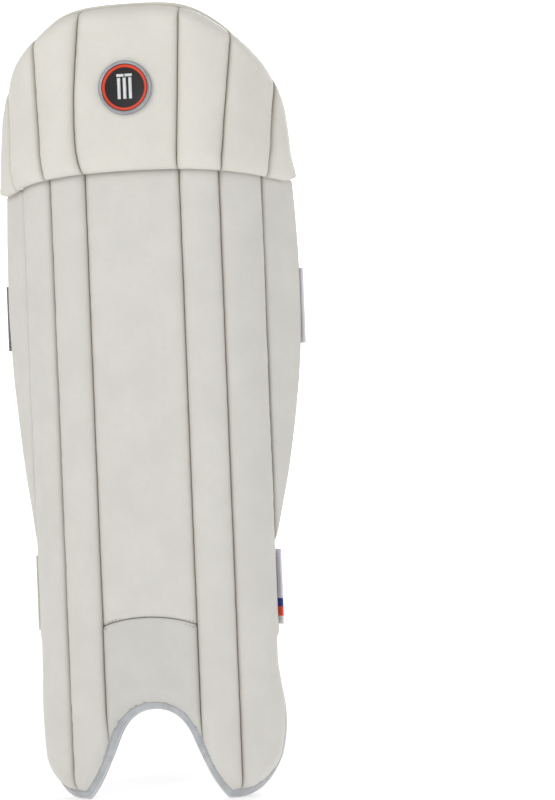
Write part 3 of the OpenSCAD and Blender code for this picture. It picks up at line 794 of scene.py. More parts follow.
def make_shin():
    top = rib_outline([(s, z + 0.4) for s, z in ARCH], -PANEL, PANEL, SHIN_TOP)

    def centre(s, z, e):
        near, far, crease_shade = rib_depths(-41, 41, 1.0)(s, z, {k: v for k, v in e.items() if k != "rim"})
        near += 1.6 * rounding(e["rim"], 4)
        # Painted shade: the centre rib also darkens along its lower edge over the instep.
        return near, np.full(len(s), RIB_BACK), np.clip(crease_shade + 0.3 * np.exp(-e["rim"] / 0.8), 0, 1)

    obj = closed_panel("shin_rib_centre", top, centre)
    finish_piece(obj, "facing", "facing", "shin", "shin_cover", "centre_rib")

    scoop = scoop_line(PANEL)
    arch = [(s * 40.9 / 41, z) for s, z in reversed(ARCH)]
    outline = [("rim", scoop), ("seam", [scoop[-1], arch[0]]), ("arch", arch),
               ("seam", [arch[-1], scoop[0]])]

    def instep(s, z, e):
        bulge = np.exp(-((z - 118) / 22) ** 2) * (1 - (s / 41) ** 2)
        lift = 1.2 - 1.8 * rounding(e["arch"], 4.5) + 0.5 * bulge - wave(s, z, 14, 16, 8.0) * 0.3
        near, far, crease_shade = rib_depths(-41, 41, 3.0, 1.4, lift=lift)(s, z, e)
        # Painted shade: the instep also darkens along its arched top seam.
        return near, np.maximum(far, near + 1.5), np.clip(crease_shade + 0.3 * np.exp(-e["arch"] / 0.8), 0, 1)

    obj = closed_panel("instep_panel", outline, instep, step=2.6)
    finish_piece(obj, "instep", "instep_facing", "shin", "instep_cover", "instep_pad")

    inner = rib_outline(clip(LOW, PANEL, S_INNER), PANEL, S_INNER, SHIN_TOP)
    outer = outer_outline(S_INNER, SIDE, SHIN_TOP)
    for a, b, name, shape, seed in ((PANEL, S_INNER, "inner", inner, 10.0),
                                    (S_INNER, S_WING, "outer", outer, 17.0)):
        for side, out in (("right", shape), ("left", flip(shape))):
            depths = rib_depths(a, b, seed + (3 if side == "left" else 0), 1.3)
            obj = closed_panel(f"shin_rib_{side}_{name}", out, depths)
            finish_piece(obj, "facing", "facing", "shin", f"{side}_{name}_rib")

    for k, (off, wide, depth) in enumerate(((-1.9, 0.965, -1.05), (2.3, 0.975, -0.15))):
        obj = stitches(f"instep_stitches_{k + 1}", [(s * wide, z + off) for s, z in ARCH], depth)
        finish_piece(obj, "thread", "instep_facing", "shin")

    def lining(s, z, e):
        far = LINING_BACK + wave(s, z, 20, 30, 4.0) * 0.12
        # Painted shade: the lining darkens towards its edges.
        return np.full(len(s), 22.0), far, np.exp(-e["edge"]) * 0.5
    half = [(S_WING - 4, 150), (S_WING - 4, 166), (S_WING - 0.8, 216), (S_WING - 0.4, 536)]
    edge = half + mirror(half) + half[:1]
    obj = closed_panel("shin_lining_cloth", [("edge", edge)], lining, step=5, rings=(1.0, 3.0))
    finish_piece(obj, "lining", "lining", "shin", "shin_lining")
    for side, sign in SIDES:
        wrap = [(-0.1, 7.5), (-0.7, 8.0), (-0.8, 22.4), (0.2, 24.0), (1.4, 24.1), (1.4, 22.1),
                (-0.1, 21.5)]
        line = [(sign * S_WING, z) for z in np.linspace(222, 535, 40)]
        obj = sweep(f"lining_side_{side}", line, [(sign * x, d) for x, d in wrap])
        finish_piece(obj, "lining", "lining", "shin")


def make_mesh_ribs():
    top_z = 164.5

    def depths(a, b, seed):
        def f(s, z, e):
            e = whole_rim(e, s, z)
            far = 33.4 - both_size(8.2 * rounding(e["seam"], min(15.0, (b - a) * 0.46)),
                                   15.4 * rim_shape(e["rim"], 17.0), 6.0 * rounding(e["top"], 8),
                                   6.0 * rounding(e.get("side", FAR_OFF), 9))
            far += wave(s, z, 16, 20, seed) * 0.4 - 0.25 * np.clip(7 - e["rim"], 0, 7)
            # Painted shade: the crease value darkens the mesh along its seams.
            return np.minimum(23.9, far - 3.0), far, np.clip(np.exp(-e["seam"] / 1.3), 0, 1)
        return f

    gap = 0.3
    end = PANEL - gap
    obj = closed_panel("mesh_rib_centre", rib_outline(scoop_line(end), -end, end, top_z),
                       depths(-PANEL, PANEL, 2.0), step=2.6)
    finish_piece(obj, "spacer", "spacer_mesh", "shin", "centre_mesh_pad")
    a, b = PANEL + gap, S_INNER - gap
    inner = rib_outline(clip(LOW, a, b), a, b, top_z)
    outer = outer_outline(S_INNER + gap, [p for p in SIDE if p[1] < top_z] + [(119.0, top_z)], top_z)
    for name, out, a0, b0 in (("inner", inner, PANEL, S_INNER), ("outer", outer, S_INNER, S_WING)):
        for side_name, o in (("right", out), ("left", flip(out))):
            obj = closed_panel(f"mesh_rib_{side_name}_{name}", o, depths(a0, b0, 5.0), step=2.6)
            finish_piece(obj, "spacer", "spacer_mesh", "shin", f"{side_name}_{name}_mesh_pad")


def make_binding():
    outer = [(7.6, 7.7), (5.0, 7.9), (2.6, 8.9), (0.7, 10.6), (-0.5, 12.4), (-0.9, 13.6), (-0.5, 15.0),
             (0.7, 16.8), (2.6, 18.3), (5.0, 18.9), (7.6, 19.0)]
    mid, thick = 13.5, 0.8
    inner = [(e + 0.9 if abs(d - mid) < 4 else e, d + (thick if d < mid else -thick))
             for e, d in reversed(outer)]
    path = mirror(FOOT) + FOOT[1:]

    def vary(e, d, s, z):
        up = up_side(s, z)
        front = np.clip((13.6 - d) / 6.0, 0, 1)
        return e - np.where(d < 13, 3.9 * up * np.clip(e / 7.6, 0, 1), 0), d - 4.6 * up * front
    obj = sweep("foot_binding_tape", path, outer + inner, vary=vary)
    finish_piece(obj, "binding", "binding", "shin", "foot_binding")
    p = resample(path, 2.0)
    nrm = normals(p)
    for k, (d, front) in enumerate(((7.75, 1), (19.0, 0))):
        row = p + nrm * (5.9 - 3.2 * front * up_side(p[:, 0], p[:, 1])[:, None])

        def level(s, z):
            return d - 4.2 * front * up_side(s, z)
        obj = stitches(f"binding_stitches_{k + 1}", row, level, length=2.0, pitch=3.0, r=0.28)
        finish_piece(obj, "thread", "binding", "shin")


# ---------- Wings ----------
WING_TOP = 526.0


def make_wings():
    rear = [(S_WING + u, z) for u, z in curve((0.5, 216), (14, 250), (40, 345), (40, 430), (40, 470),
                                              (38, 500), (35.5, WING_TOP + 5), n=18)]
    peak = (S_WING + 0.4, WING_TOP + 8)
    outline = [("rear", rear), ("top", [rear[-1], peak]), ("seam", [peak, rear[0]])]

    def place(s, z, d):
        """The section, leaning away from the shin's side so that the wing can fold."""
        far = np.abs(s)
        lean = 0.22 * np.clip(d, 0, None) * np.clip(1 - (far - S_WING) / 9, 0, 1)
        return on_section(np.sign(s) * (far + lean), z, d)

    def facing(s, z, e):
        near = both_size(4.2 * rounding(e["seam"], 5.5), 1.8 * rounding(e["rear"], 3.0),
                         1.5 * rounding(e["top"], 4))
        near += wave(s, z, 22, 50, 31.0) * 0.3 + wave(s, z, 8, 18, 33.0) * 0.1
        near -= 0.8 * ease(e["rear"], 0, 16)
        far = np.where(z > WING_TOP - 0.5, 1.6, 6.8 - 1.2 * rounding(e["rear"], 3.0))
        # Painted shade: darker along the seam with the shin's side.
        return near, np.maximum(far, near + 1.0), np.clip(np.exp(-e["seam"] / 0.9) * 0.8, 0, 1)

    inset = resample(rear, 3.0)
    inset += normals(inset) * 6.5
    top_z, seam_s = WING_TOP - 3, S_WING + 2.6
    inset = [tuple(p) for p in inset if p[0] > S_WING + 4.0 and p[1] < top_z]
    inset += [(inset[-1][0], top_z), (seam_s, top_z), (seam_s, inset[0][1] - 4), inset[0]]
    pad = [("edge", inset)]

    def bolster(s, z, e):
        puff = rounding(e["edge"], 13.0)
        far = 18.6 - 10.0 * puff + wave(s, z, 14, 26, 41.0) * 0.5 + wave(s, z, 30, 9, 43.0) * 0.25
        # Painted shade: darker round the bolster's edges.
        return np.full(len(s), 7.1), np.maximum(far, 7.8), np.clip(np.exp(-e["edge"] / 1.5) * 0.7, 0, 1)

    for side, sign in SIDES:
        body = f"{side}_wing"
        turned = flip if sign < 0 else list
        facing_obj = closed_panel(f"wing_facing_{side}", turned(outline), facing, place, step=3.2)
        finish_piece(facing_obj, "facing", "facing", None, f"{side}_wing_cover", f"{side}_wing_core")
        cord = [(sign * (S_WING + 0.6), z) for z in np.linspace(218.5, 531, 60)]
        # Painted shade: the cord is darkened all along, for the groove at the wing's seam.
        obj = sweep(f"wing_seam_cord_{side}", cord, circle(1.15, 0.0, 5.5), step=4.0, crease_shade=1.0)
        finish_piece(obj, "facing", "facing", None)
        p = spot(sign * S_WING)
        for sewn in (facing_obj, obj):
            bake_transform(sewn)
        obj = closed_panel(f"side_bolster_{side}", turned(pad), bolster, place)
        finish_piece(obj, "bolster", "bolster_fabric", body, f"{side}_side_bolster")
        line = [(sign * (s - 0.2), z) for s, z in rear[1:]]
        obj = sweep(f"wing_piping_{side}", line, circle(1.5, 0.4, 4.2))
        finish_piece(obj, "piping", "piping", body)
        row = [(sign * (s - 4.0), z) for s, z in rear[2:-1]]
        obj = stitches(f"wing_stitches_{side}", row, 7.0, length=2.2, pitch=3.4, r=0.3)
        finish_piece(obj, "thread", "facing", body)


# ---------- Knee cap ----------
KNEE_D = -9.0
PAD_FOOT = 545.5
FLAP_END = 152.0


def knee_lines():
    """The knee cap's lower edge and its dome, on the right."""
    dome = curve((130, 499), (131, 545), (131, 566), (129, 584), (126, 620), (104, 652), (64, 671),
                 (43, 680), (20, 680), (0, 680))
    low = curve((0, 540), (45, 540), (90, 537), (132, 529))
    dome = [(s_at(x, KNEE_D + 7), z) for x, z in dome if z > 529]
    low = [(s_at(x, KNEE_D + 7), z - 1.5) for x, z in low]
    low = [p for p in low if p[0] < dome[0][0]]
    return low, dome


# How far each knee seam leans out at the top, and bows out on the way
FAN = {"right": {0.0: (0, 0), PANEL: (5.5, 0.0), S_INNER: (13.0, 0.0), S_WING: (22.0, 1.0)},
       "left": {0.0: (0, 0), PANEL: (-1.5, 6.0), S_INNER: (5.5, 1.5), S_WING: (10.0, 1.0)}}


def fanned(s0, z, side):
    """Where a knee seam runs: straight above the knee line, then leaning out towards the dome."""
    lean, bow = FAN[side][s0]
    z = np.asarray(z, float)
    bent = np.sin(np.pi * np.clip((z - 537) / 140, 0, 1) ** 0.65)
    return s0 + lean * np.clip((z - 545) / 113, 0, 1.1) + bow * bent


def meet(line, s0, side):
    """Where a line of points crosses the knee seam s0."""
    off = [p[0] - float(fanned(s0, p[1], side)) for p in line]
    for i in range(len(line) - 1):
        if off[i] * off[i + 1] <= 0:
            t = off[i] / (off[i] - off[i + 1] + 1e-12)
            return i, tuple(line[i][k] + t * (line[i + 1][k] - line[i][k]) for k in (0, 1))
    raise ValueError("no crossing")


def between(line, a, b, side):
    """The part of a line, along which s grows, between knee seams a and b."""
    i, p = meet(line, a, side)
    if b is None:
        return [p] + line[i + 1:]
    j, q = meet(line, b, side)
    return [p] + line[i + 1:j + 1] + [q]


def seam_line(s0, z0, z1, side):
    return [(float(fanned(s0, z, side)), float(z)) for z in np.linspace(z0, z1, 24)]


def make_knee():
    low, dome = knee_lines()
    up = list(reversed(dome))
    corner = dome[0]
    segments = [(PANEL, S_INNER, "inner"), (S_INNER, S_WING, "outer"), (S_WING, None, "wing")]

    def depths(a, b, seed, wing=False):
        mid, half = (a + b) / 2, (b - a) / 2

        def f(s, z, e):
            at = np.stack([np.abs(s), z], 1)
            u = np.clip((at[:, 0] - mid) / half, -1, 1)
            gain = ease(z, 533, 560)
            dome_e, seam = distance(at, dome), e["seam"]
            near = both_size(5.0 * rounding(seam, 6.5), 4.9 * rounding(distance(at, low), 15.0),
                             (16.5 * gain + 3.0 * (1 - gain)) * rounding(dome_e, 15.0))
            near += KNEE_D - 1.3 * (1 - u * u) - 1.2 * np.exp(-((z - 556) / 14) ** 2)
            near += wave(s, z, 24, 40, seed) * 0.35 + wave(s, z, 8, 14, seed + 3) * 0.12
            near += wave(s, z, 20, 7, seed + 6) * np.exp(-seam / 6) * 0.4
            foot = PAD_FOOT + 2.5 if wing else PAD_FOOT
            full = 21.4 - 13.0 * rounding(dome_e, 14.0)
            far = np.where(z > foot + 1.0, full, -3.6)
            # Painted shade: darker along the seams and in a line by the dome's piping.
            crease_shade = np.exp(-seam / 1.5) + 0.6 * np.exp(-dome_e / 1.2)
            return near, np.maximum(far, near + 1.0), np.clip(crease_shade, 0, 1)
        return f

    halves = {}
    for side in ("right", "left"):
        lower, upper = between(low, 0.0, PANEL, side), between(up, 0.0, PANEL, side)
        halves[side] = lower, upper, seam_line(PANEL, lower[-1][1], upper[-1][1], side)
    low_r, up_r, seam_r = halves["right"]
    low_l, up_l, seam_l = (mirror(line) for line in halves["left"])
    shape = [("low", low_l[:-1] + low_r), ("seam", seam_r), ("dome", up_r[::-1] + up_l[-2::-1]),
             ("seam", seam_l)]
    obj = closed_panel("knee_segment_centre", shape, depths(-PANEL, PANEL, 51.0))
    finish_piece(obj, "knee", "facing", "knee_cap", "knee_cover", "knee_roll", "knee_centre_pad")
    for a, b, name in segments:
        for side in ("right", "left"):
            lower = between(low, a, b, side)
            if name == "wing":
                i, top = meet(dome, a, side)
                lower = [p for p in lower if p[0] < corner[0] - 1]
                shape = [("low", lower + [corner]), ("dome", dome[:i + 1] + [top]),
                         ("seam", seam_line(a, top[1], lower[0][1], side))]
            else:
                upper = between(up, a, b, side)
                shape = [("low", lower), ("seam", seam_line(b, lower[-1][1], upper[-1][1], side)),
                         ("dome", upper[::-1]), ("seam", seam_line(a, upper[0][1], lower[0][1], side))]
            out = shape if side == "right" else flip(shape)
            seed = 60.0 + a + (9 if side == "left" else 0)
            form = depths(a, b or FLAP_END, seed, name == "wing")
            obj = closed_panel(f"knee_segment_{side}_{name}", out, form)
            finish_piece(obj, "knee", "facing", "knee_cap", f"{side}_knee_{name}_pad")

    # The white back panel, a soft cover that meets the piping round the dome
    inset = 0.4
    rim = [(s - inset, z) for s, z in dome if z > 544]
    rim = rim[:-1] + [(0.0, 680 - inset)]
    corner, near_s = (rim[0][0], 542.5), S_WING + 5.2
    base = [(0.0, 549.0), (88.0, 549.0), (S_WING - 4, 549.5), (near_s, 549.5), (near_s, 542.5), corner]
    shape = [("foot", mirror(base)[:-1] + base), ("dome", [corner] + rim + mirror([corner] + rim[:-1]))]

    def back(s, z, e):
        puff = 2.0 * ease(e["dome"], 4, 30) * ease(e["foot"], 0, 14)
        far = 22.6 + puff - 13.8 * rounding(e["dome"], 13.0) - 2.0 * rounding(e["foot"], 6.0)
        folds = wave(s + 0.6 * z, z, 26, 60, 71.0) * 0.9 + wave(s - 0.8 * z, z, 16, 44, 73.0) * 0.5
        fine = wave(s, z, 9, 12, 75.0) * 0.2
        far += (folds + fine) * ease(e["dome"], 1, 12)
        return np.minimum(21.5, far - 1.2), far, 0 * s
    obj = closed_panel("knee_back_cover", shape, back, rings=(0.3, 1.0, 2.2, 3.8, 5.8, 8.2, 11))
    finish_piece(obj, "back", "back_panel", "knee_cap", "knee_back_panel")
    path = [(s, z) for s, z in dome if z > PAD_FOOT + 2]
    path += mirror(path[:-1])
    obj = sweep("knee_dome_piping", path, circle(2.0, -1.2, 7.6, 12))
    finish_piece(obj, "piping", "piping", "knee_cap", "knee_piping")
    seam = [(s, 557.0) for s in np.linspace(-112, 112, 76)]
    obj = stitches("knee_back_stitches", seam, 23.3, length=2.4, pitch=3.6, r=0.3)
    finish_piece(obj, "white_thread", "back_panel", "knee_cap")


# ---------- Bolsters, inflated as cloth ----------
def bolster_section(inset, x_in=27.8, back=53.5):
    last = PANEL + BEND_R * math.radians(50)
    front = [(x_in, FRONT_Y + LINING)]
    front += [tuple(spot(s, LINING)[:2] / MM) for s in np.linspace(PANEL, last, 10)]
    (x, y), by = front[-1], FRONT_Y + back
    side = curve((x, y), (x + 8, y + 5), (93, by - 2), (70, by), n=10)[1:-1]
    crown = curve((70, by), (50, by), (x_in, by), (x_in, FRONT_Y + LINING + 10))[:-1]
    loop = resample(front + side + crown, 2.6, True)
    centre = loop.mean(0)
    return centre + (loop - centre) * (1 - inset / 14.0)


def loft(name, loop_at, levels):
    """A closed tube of loops at heights, with the ends drawn in."""
    verts, faces = [], []
    n = len(loop_at(levels[0]))
    for z in levels:
        for x, y in loop_at(z):
            verts.append((x * MM, y * MM, z * MM))
    for k in range(len(levels) - 1):
        for i in range(n):
            j = (i + 1) % n
            faces.append((k * n + i, k * n + j, (k + 1) * n + j, (k + 1) * n + i))
    faces.append(tuple(reversed(range(n))))
    faces.append(tuple((len(levels) - 1) * n + i for i in range(n)))
    return new_object(name, verts, faces)


def inflate(obj, voxel, cap, pinned, pressure=4.0):
    """Swells a closed piece as pressurised cloth; no point moves further than cap."""
    scene = bpy.context.scene
    view = bpy.context.view_layer
    view.objects.active = obj
    mod = obj.modifiers.new("remesh", "REMESH")
    mod.mode = "VOXEL"
    mod.voxel_size = voxel
    bpy.ops.object.modifier_apply(modifier=mod.name)
    rest = np.array([v.co for v in obj.data.vertices])
    group = obj.vertex_groups.new(name="pin")
    for i in np.nonzero(pinned(rest))[0]:
        group.add([int(i)], 1.0, "REPLACE")
    cloth = obj.modifiers.new("cloth", "CLOTH")
    cs = cloth.settings
    cs.quality = 6
    cs.mass = 0.2
    cs.tension_stiffness = 12
    cs.compression_stiffness = 6
    cs.bending_stiffness = 0.4
    cs.use_pressure = True
    cs.uniform_pressure_force = pressure
    cs.vertex_group_mass = "pin"
    cs.effector_weights.gravity = 0
    cloth.point_cache.frame_start, cloth.point_cache.frame_end = 1, 20
    for f in range(1, 21):
        scene.frame_set(f)
    done = obj.evaluated_get(bpy.context.evaluated_depsgraph_get())
    now = np.array([v.co for v in done.data.vertices])
    obj.modifiers.remove(cloth)
    obj.vertex_groups.clear()
    scene.frame_set(1)
    move = now - rest
    far = np.linalg.norm(move, axis=1, keepdims=True)
    move *= np.minimum(1, cap * MM / np.maximum(far, 1e-9))
    obj.data.vertices.foreach_set("co", (rest + move).astype(np.float32).ravel())
    sub = obj.modifiers.new("sub", "SUBSURF")
    sub.levels = sub.render_levels = 1
    bpy.ops.object.modifier_apply(modifier=sub.name)
    return obj


def make_bolsters():
    low, high = 166.0, 552.0
    loop = bolster_section(1.2)
    centre = np.array([56.0, -12.0])

    def loop_at(z):
        e = min(z - low, high - z)
        k = math.sqrt(max(0.0, 1 - max(0.0, 1 - e / 16.0) ** 2)) * 0.6 + 0.4
        return centre + (loop - centre) * k

    ends = (0, 2, 5, 9, 15)
    levels = sorted({low + v for v in ends} | {high - v for v in ends}
                    | set(np.linspace(low + 20, high - 20, 60)))
    obj = loft("bolster_right", loop_at, levels)

    def on_lining(p):
        return p[:, 1] < (FRONT_Y + LINING + 2) * MM + np.clip(p[:, 0] - 0.045, 0, 1) * 0.55
    inflate(obj, 0.005, 4.5, on_lining)
    co = np.array([v.co for v in obj.data.vertices])
    mesh = obj.data
    mesh.polygons.foreach_set("use_smooth", [True] * len(mesh.polygons))
    for side, sign in SIDES:
        if sign < 0:
            obj = bpy.data.objects.new("bolster_left", mesh.copy())
            bpy.context.scene.collection.objects.link(obj)
            obj.data.flip_normals()
        c = co * np.array([sign, 1, 1])
        nrm = np.zeros(len(c) * 3, np.float32)
        obj.data.vertices.foreach_get("normal", nrm)
        nrm = nrm.reshape(-1, 3)
        if sign < 0:
            nrm = np.array([v.normal for v in mesh.vertices]) * np.array([-1, 1, 1])
        x, z = c[:, 0] / MM, c[:, 2] / MM
        back = ease(c[:, 1] / MM, FRONT_Y + LINING + 1, FRONT_Y + LINING + 9)
        move = wave(x, z, 30, 60, 81.0 + sign) * 0.8 + wave(x + 0.5 * z, z, 12, 34, 83.0 + sign) * 0.35
        press = np.exp(-((z - 421) / 40) ** 2) * 1.2 + np.exp(-((z - 200) / 26) ** 2) * 1.4
        c = c + nrm * ((move - press) * back)[:, None] * MM
        c[:, 1] = np.clip(c[:, 1], (FRONT_Y + LINING - 0.1) * MM, (FRONT_Y + 54.5) * MM)
        c[:, 0] = sign * np.maximum(sign * c[:, 0], 0.0276)
        obj.data.vertices.foreach_set("co", c.astype(np.float32).ravel())
        centre_a = np.arctan2(c[:, 1] + 0.018, sign * c[:, 0] - 0.056)
        at = obj.data.attributes.new("sz", "FLOAT_VECTOR", "POINT")
        round_it = sign * (0.056 + 0.03 * np.cos(centre_a)) + 0.6 * c[:, 1]
        along = np.where(c[:, 1] > -0.012, c[:, 0], round_it)
        at.data.foreach_set("vector", np.stack([along, c[:, 2], 0 * x], 1).astype(np.float32).ravel())
        # Painted shade: the bolsters darken on their front, where they press against the lining.
        at = obj.data.attributes.new("crease_shade", "FLOAT", "POINT")
        at.data.foreach_set("value", (1 - ease(c[:, 1] / MM, -25, -12)).astype(np.float32) * 0.6)
        obj.data.update()
        finish_piece(obj, "bolster", "bolster_fabric", "shin", f"{side}_bolster")
    half, foot, head = 27.0, 165.3, 550.0
    strip = [(-half, foot), (half, foot), (half, head), (-half, head), (-half, foot)]

    def depths(s, z, e):
        far = 27.4 - 1.8 * rounding(e["edge"], 4.0)
        far += wave(s, z, 20, 40, 91.0) * 0.25 + wave(s, z, 14, 12, 93.0) * 0.15
        # Painted shade: the crease value rises towards the strip's long edges, which tuck between the
        # bolsters.
        return np.full(len(s), 24.3), far, np.exp((np.abs(s) - half) / 1.1)
    rings = (0.3, 0.9, 1.8, 3.0)
    obj = closed_panel("centre_strip_cover", [("edge", strip)], depths, step=3.2, rings=rings)
    finish_piece(obj, "strip", "strip_print", "shin", "centre_strip")


# ---------- Straps ----------
def ribbon(name, path, z0, z1, t, side=1, hem=0.45, ribs=0.0, seed=0.0, rows=30, bow=0.0):
    """A strap along a path in x and y, with hems; side puts its outer face left or right."""
    p = resample([tuple(q) for q in path], 1.6)
    n = len(p)
    nrm = normals(p) * side
    arc = np.concatenate([[0], np.cumsum(np.linalg.norm(np.diff(p, axis=0), axis=1))])
    h = z1 - z0
    zs = np.concatenate([[0, 0.25, 0.8], np.linspace(1.8, h - 1.8, rows), [h - 0.8, h - 0.25, h]])
    loop = []
    for z in zs:
        e = min(z, h - z)
        out = t - 0.5 * t * rounding(np.array(e), 0.9) + hem * math.exp(-((e - 2.0) / 1.3) ** 2)
        out += ribs * (0.5 - 0.5 * math.cos(2 * math.pi * z / 3.4)) * (1 if 3 < z < h - 3 else 0)
        loop.append((z, float(out)))
    for z in zs[::-1]:
        e = min(z, h - z)
        loop.append((z, 0.5 * t * float(rounding(np.array(e), 0.9))))
    verts, coords = [], []
    lift = wave(arc, 0 * arc, 40, 1, seed + 1) * 0.5
    for z, w in loop:
        soft = wave(arc, np.full(n, z), 18, 22, seed) * 0.22
        q = p + nrm * (w + soft)[:, None]
        zz = z0 + z + lift * bow * (z / h)
        verts.append(np.stack([q[:, 0], q[:, 1], zz], 1) * MM)
        coords.append(np.stack([arc, np.full(n, z0 + z), np.full(n, w)], 1))
    verts = np.vstack(verts)
    faces = tube_faces(len(loop), n)
    return new_object(name, verts, faces, np.vstack(coords), np.zeros(len(verts)), 45)


STRAP_X, STRAP_Y, BOW, CALF_Z = 127.285, 29.947, 26.0, 421.0
ROOT_X, END_X = STRAP_X - 9.0, -132.0
CALF_R = (STRAP_X ** 2 + BOW ** 2) / (2 * BOW)
CALF_C = STRAP_Y + BOW - CALF_R
STRAP_T = 2.2


def arc_point(x, off=0.0):
    a = math.asin(x / CALF_R)
    return ((CALF_R + off) * math.sin(a), CALF_C + (CALF_R + off) * math.cos(a))


def on_calf(s, z, d):
    """s is x along the strap, z the height and d how far in front of the strap's face."""
    a = np.arcsin(np.asarray(s, float) / CALF_R)
    r = CALF_R + STRAP_T + 0.1 - d
    return np.stack([r * np.sin(a), CALF_C + r * np.cos(a), z + 0 * r], 1) * MM


def badge(name, centre, facing, right, d, t, body, node):
    """A round rubber badge: rings round a dark field with a plain wicket on it."""
    r = d / 2
    # Radius and height of each step outwards, as shares of r and t, and the material inside it
    steps = [(0, 0.55, 0), (0.70, 0.55, 0), (0.74, 0.62, 0), (0.76, 0.95, 1), (0.83, 0.98, 1),
             (0.85, 0.8, 1), (0.87, 1.05, 0), (0.90, 1.22, 2), (0.95, 1.2, 2), (0.985, 0.95, 2),
             (1, 0.5, 2), (1, 0.0, 2)]
    up = Vector(facing).normalized()
    rt = Vector(right).normalized()
    ud = up.cross(rt) if up.cross(rt).z > 0 else rt.cross(up)
    c = Vector(centre)
    n = 96
    verts, faces, mats = [], [], []

    def put(x, y, h):
        verts.append(tuple((c + rt * x + ud * y + up * h) * MM))
        return len(verts) - 1
    first = put(0, 0, t * steps[0][1])
    rows = []
    for share, h, _ in steps[1:]:
        rows.append([put(x, y, t * h) for x, y in circle(r * share, n=n)])
    for i in range(n):
        faces.append((first, rows[0][i], rows[0][(i + 1) % n]))
        mats.append(0)
    for k in range(len(rows) - 1):
        for i in range(n):
            j = (i + 1) % n
            faces.append((rows[k][i], rows[k + 1][i], rows[k + 1][j], rows[k][j]))
            mats.append(steps[k + 2][2])
    faces.append(tuple(reversed(rows[-1])))
    mats.append(0)
    bars = [(-0.27, -0.42, 0.115, 0.78), (-0.0575, -0.42, 0.115, 0.78), (0.155, -0.42, 0.115, 0.78),
            (-0.29, 0.40, 0.27, 0.10), (0.02, 0.40, 0.27, 0.10)]
    for x, y, w, h in bars:
        x, y, w, h = (v * r for v in (x, y, w, h))
        b = min(w, h) * 0.32
        lo = [(x, y), (x + w, y), (x + w, y + h), (x, y + h)]
        hi = [(x + b, y + b), (x + w - b, y + b), (x + w - b, y + h - b), (x + b, y + h - b)]
        ids = [put(px, py, t * 0.45) for px, py in lo] + [put(px, py, t * 0.75) for px, py in lo]
        ids += [put(px, py, t * 1.0) for px, py in hi]
        for lvl in (0, 4):
            for i in range(4):
                j = (i + 1) % 4
                faces.append((ids[lvl + i], ids[lvl + j], ids[lvl + 4 + j], ids[lvl + 4 + i]))
                mats.append(3)
        faces += [tuple(ids[8:12]), tuple(reversed(ids[0:4]))]
        mats += [3, 3]
    obj = new_object(name, verts, faces, None, None, 32)
    for m in ("rubber", "orange", "silver", "white"):
        obj.data.materials.append(M[m])
    obj.data.polygons.foreach_set("material_index", mats)
    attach(obj, body)
    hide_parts(node)
    return obj


def make_calf_strap():
    def arc(a, b):
        return [arc_point(x) for x in np.linspace(a, b, 60)]
    z0, z1 = CALF_Z - 33, CALF_Z + 33
    obj = ribbon("calf_strap_band", arc(END_X, ROOT_X), z0, z1, STRAP_T, 1, seed=101.0, bow=1.0)
    finish_piece(obj, "elastic", "elastic", "calf_strap", "calf_elastic")
    obj = ribbon("calf_strap_root", arc(ROOT_X + 0.6, STRAP_X - 0.5), z0, z1, STRAP_T, 1, seed=103.0)
    finish_piece(obj, "elastic", "elastic", "strap_root", "strap_root")
    top, low = 453.2, 389.0
    near, far, tip = (16.3, top), (-102.8, top), (-116.9, 428.6)
    left = curve((-4.1, low), (3.0, 400.0), (14.5, 424.0), near)
    point = [far] + curve(far, (-107, 446), (-112, 437), (-116.4, 430))[:-1] + [tip]
    notch = curve(tip, (-108, 428.8), (-91, 424), (-89.9, 403)) + [(-89.9, low)]
    outline = [("edge", line) for line in (left, [near, far], point, notch, [(-89.9, low), (-4.1, low)])]

    def depths(s, z, e):
        face = -1.7 + 0.9 * rounding(e["edge"], 1.3) - 0.35 * np.exp(-((e["edge"] - 2.6) / 0.8) ** 2)
        face += 0.25 * np.exp(-((e["edge"] - 4.6) / 0.7) ** 2) + wave(s, z, 20, 20, 111.0) * 0.1
        # Painted shade: a darker line in the groove 4.4 mm in from the patch's edge.
        return face, np.full(len(s), -0.05), 0.35 * np.exp(-((e["edge"] - 4.4) / 0.6) ** 2)
    rings = (0.25, 0.7, 1.3, 2.0, 2.8, 3.6, 4.4, 5.2)
    obj = closed_panel("calf_patch_cover", outline, depths, on_calf, 2.4, rings)
    finish_piece(obj, "patch", "patch", "calf_strap", "calf_patch")
    band = [(-0.9, -1.55), (-0.75, -2.05), (0.75, -2.05), (0.9, -1.55)]
    first = curve((-53.2, 452), (-54.0, 430), (-59, 410), (-67.4, 391), n=20)[:-1]
    second = curve((-70.0, 452), (-71.5, 434), (-77, 415), (-88.0, 399.5), n=20)[:-1]
    for name, pts, mat, off, wide in (("calf_inlay_orange", first, "orange", 0.0, 1.5),
                                      ("calf_inlay_black", first, "black", -2.6, 1.2),
                                      ("calf_inlay_line", second, "black", 0.0, 1.05)):
        prof = [(x * wide, y) for x, y in band]
        obj = sweep(name, [(s + off, z) for s, z in pts], prof, on_calf, step=1.5)
        finish_piece(obj, mat, "patch", "calf_strap")
    a = math.asin(-23.1 / CALF_R)
    r = CALF_R + STRAP_T + 1.7
    out, across = (math.sin(a), math.cos(a), 0), (-math.cos(a), math.sin(a), 0)
    centre = (r * out[0], CALF_C + r * out[1], 427.5)
    badge("strap_badge_disc", centre, out, across, 34.0, 2.2, "calf_strap", "strap_badge")
    row = [(ROOT_X - 6.5, z) for z in np.linspace(390, 452, 24)]
    obj = stitches("calf_end_stitches", row, -0.5, on_calf, 2.2, 3.0, 0.35)
    finish_piece(obj, "white_thread", "elastic", "calf_strap")


RING_Y = FRONT_Y + 61.0
RING_IN, RING_OUT, FOLD_R = 71.0, 93.6, 2.6
ANKLE_Z = 177.0


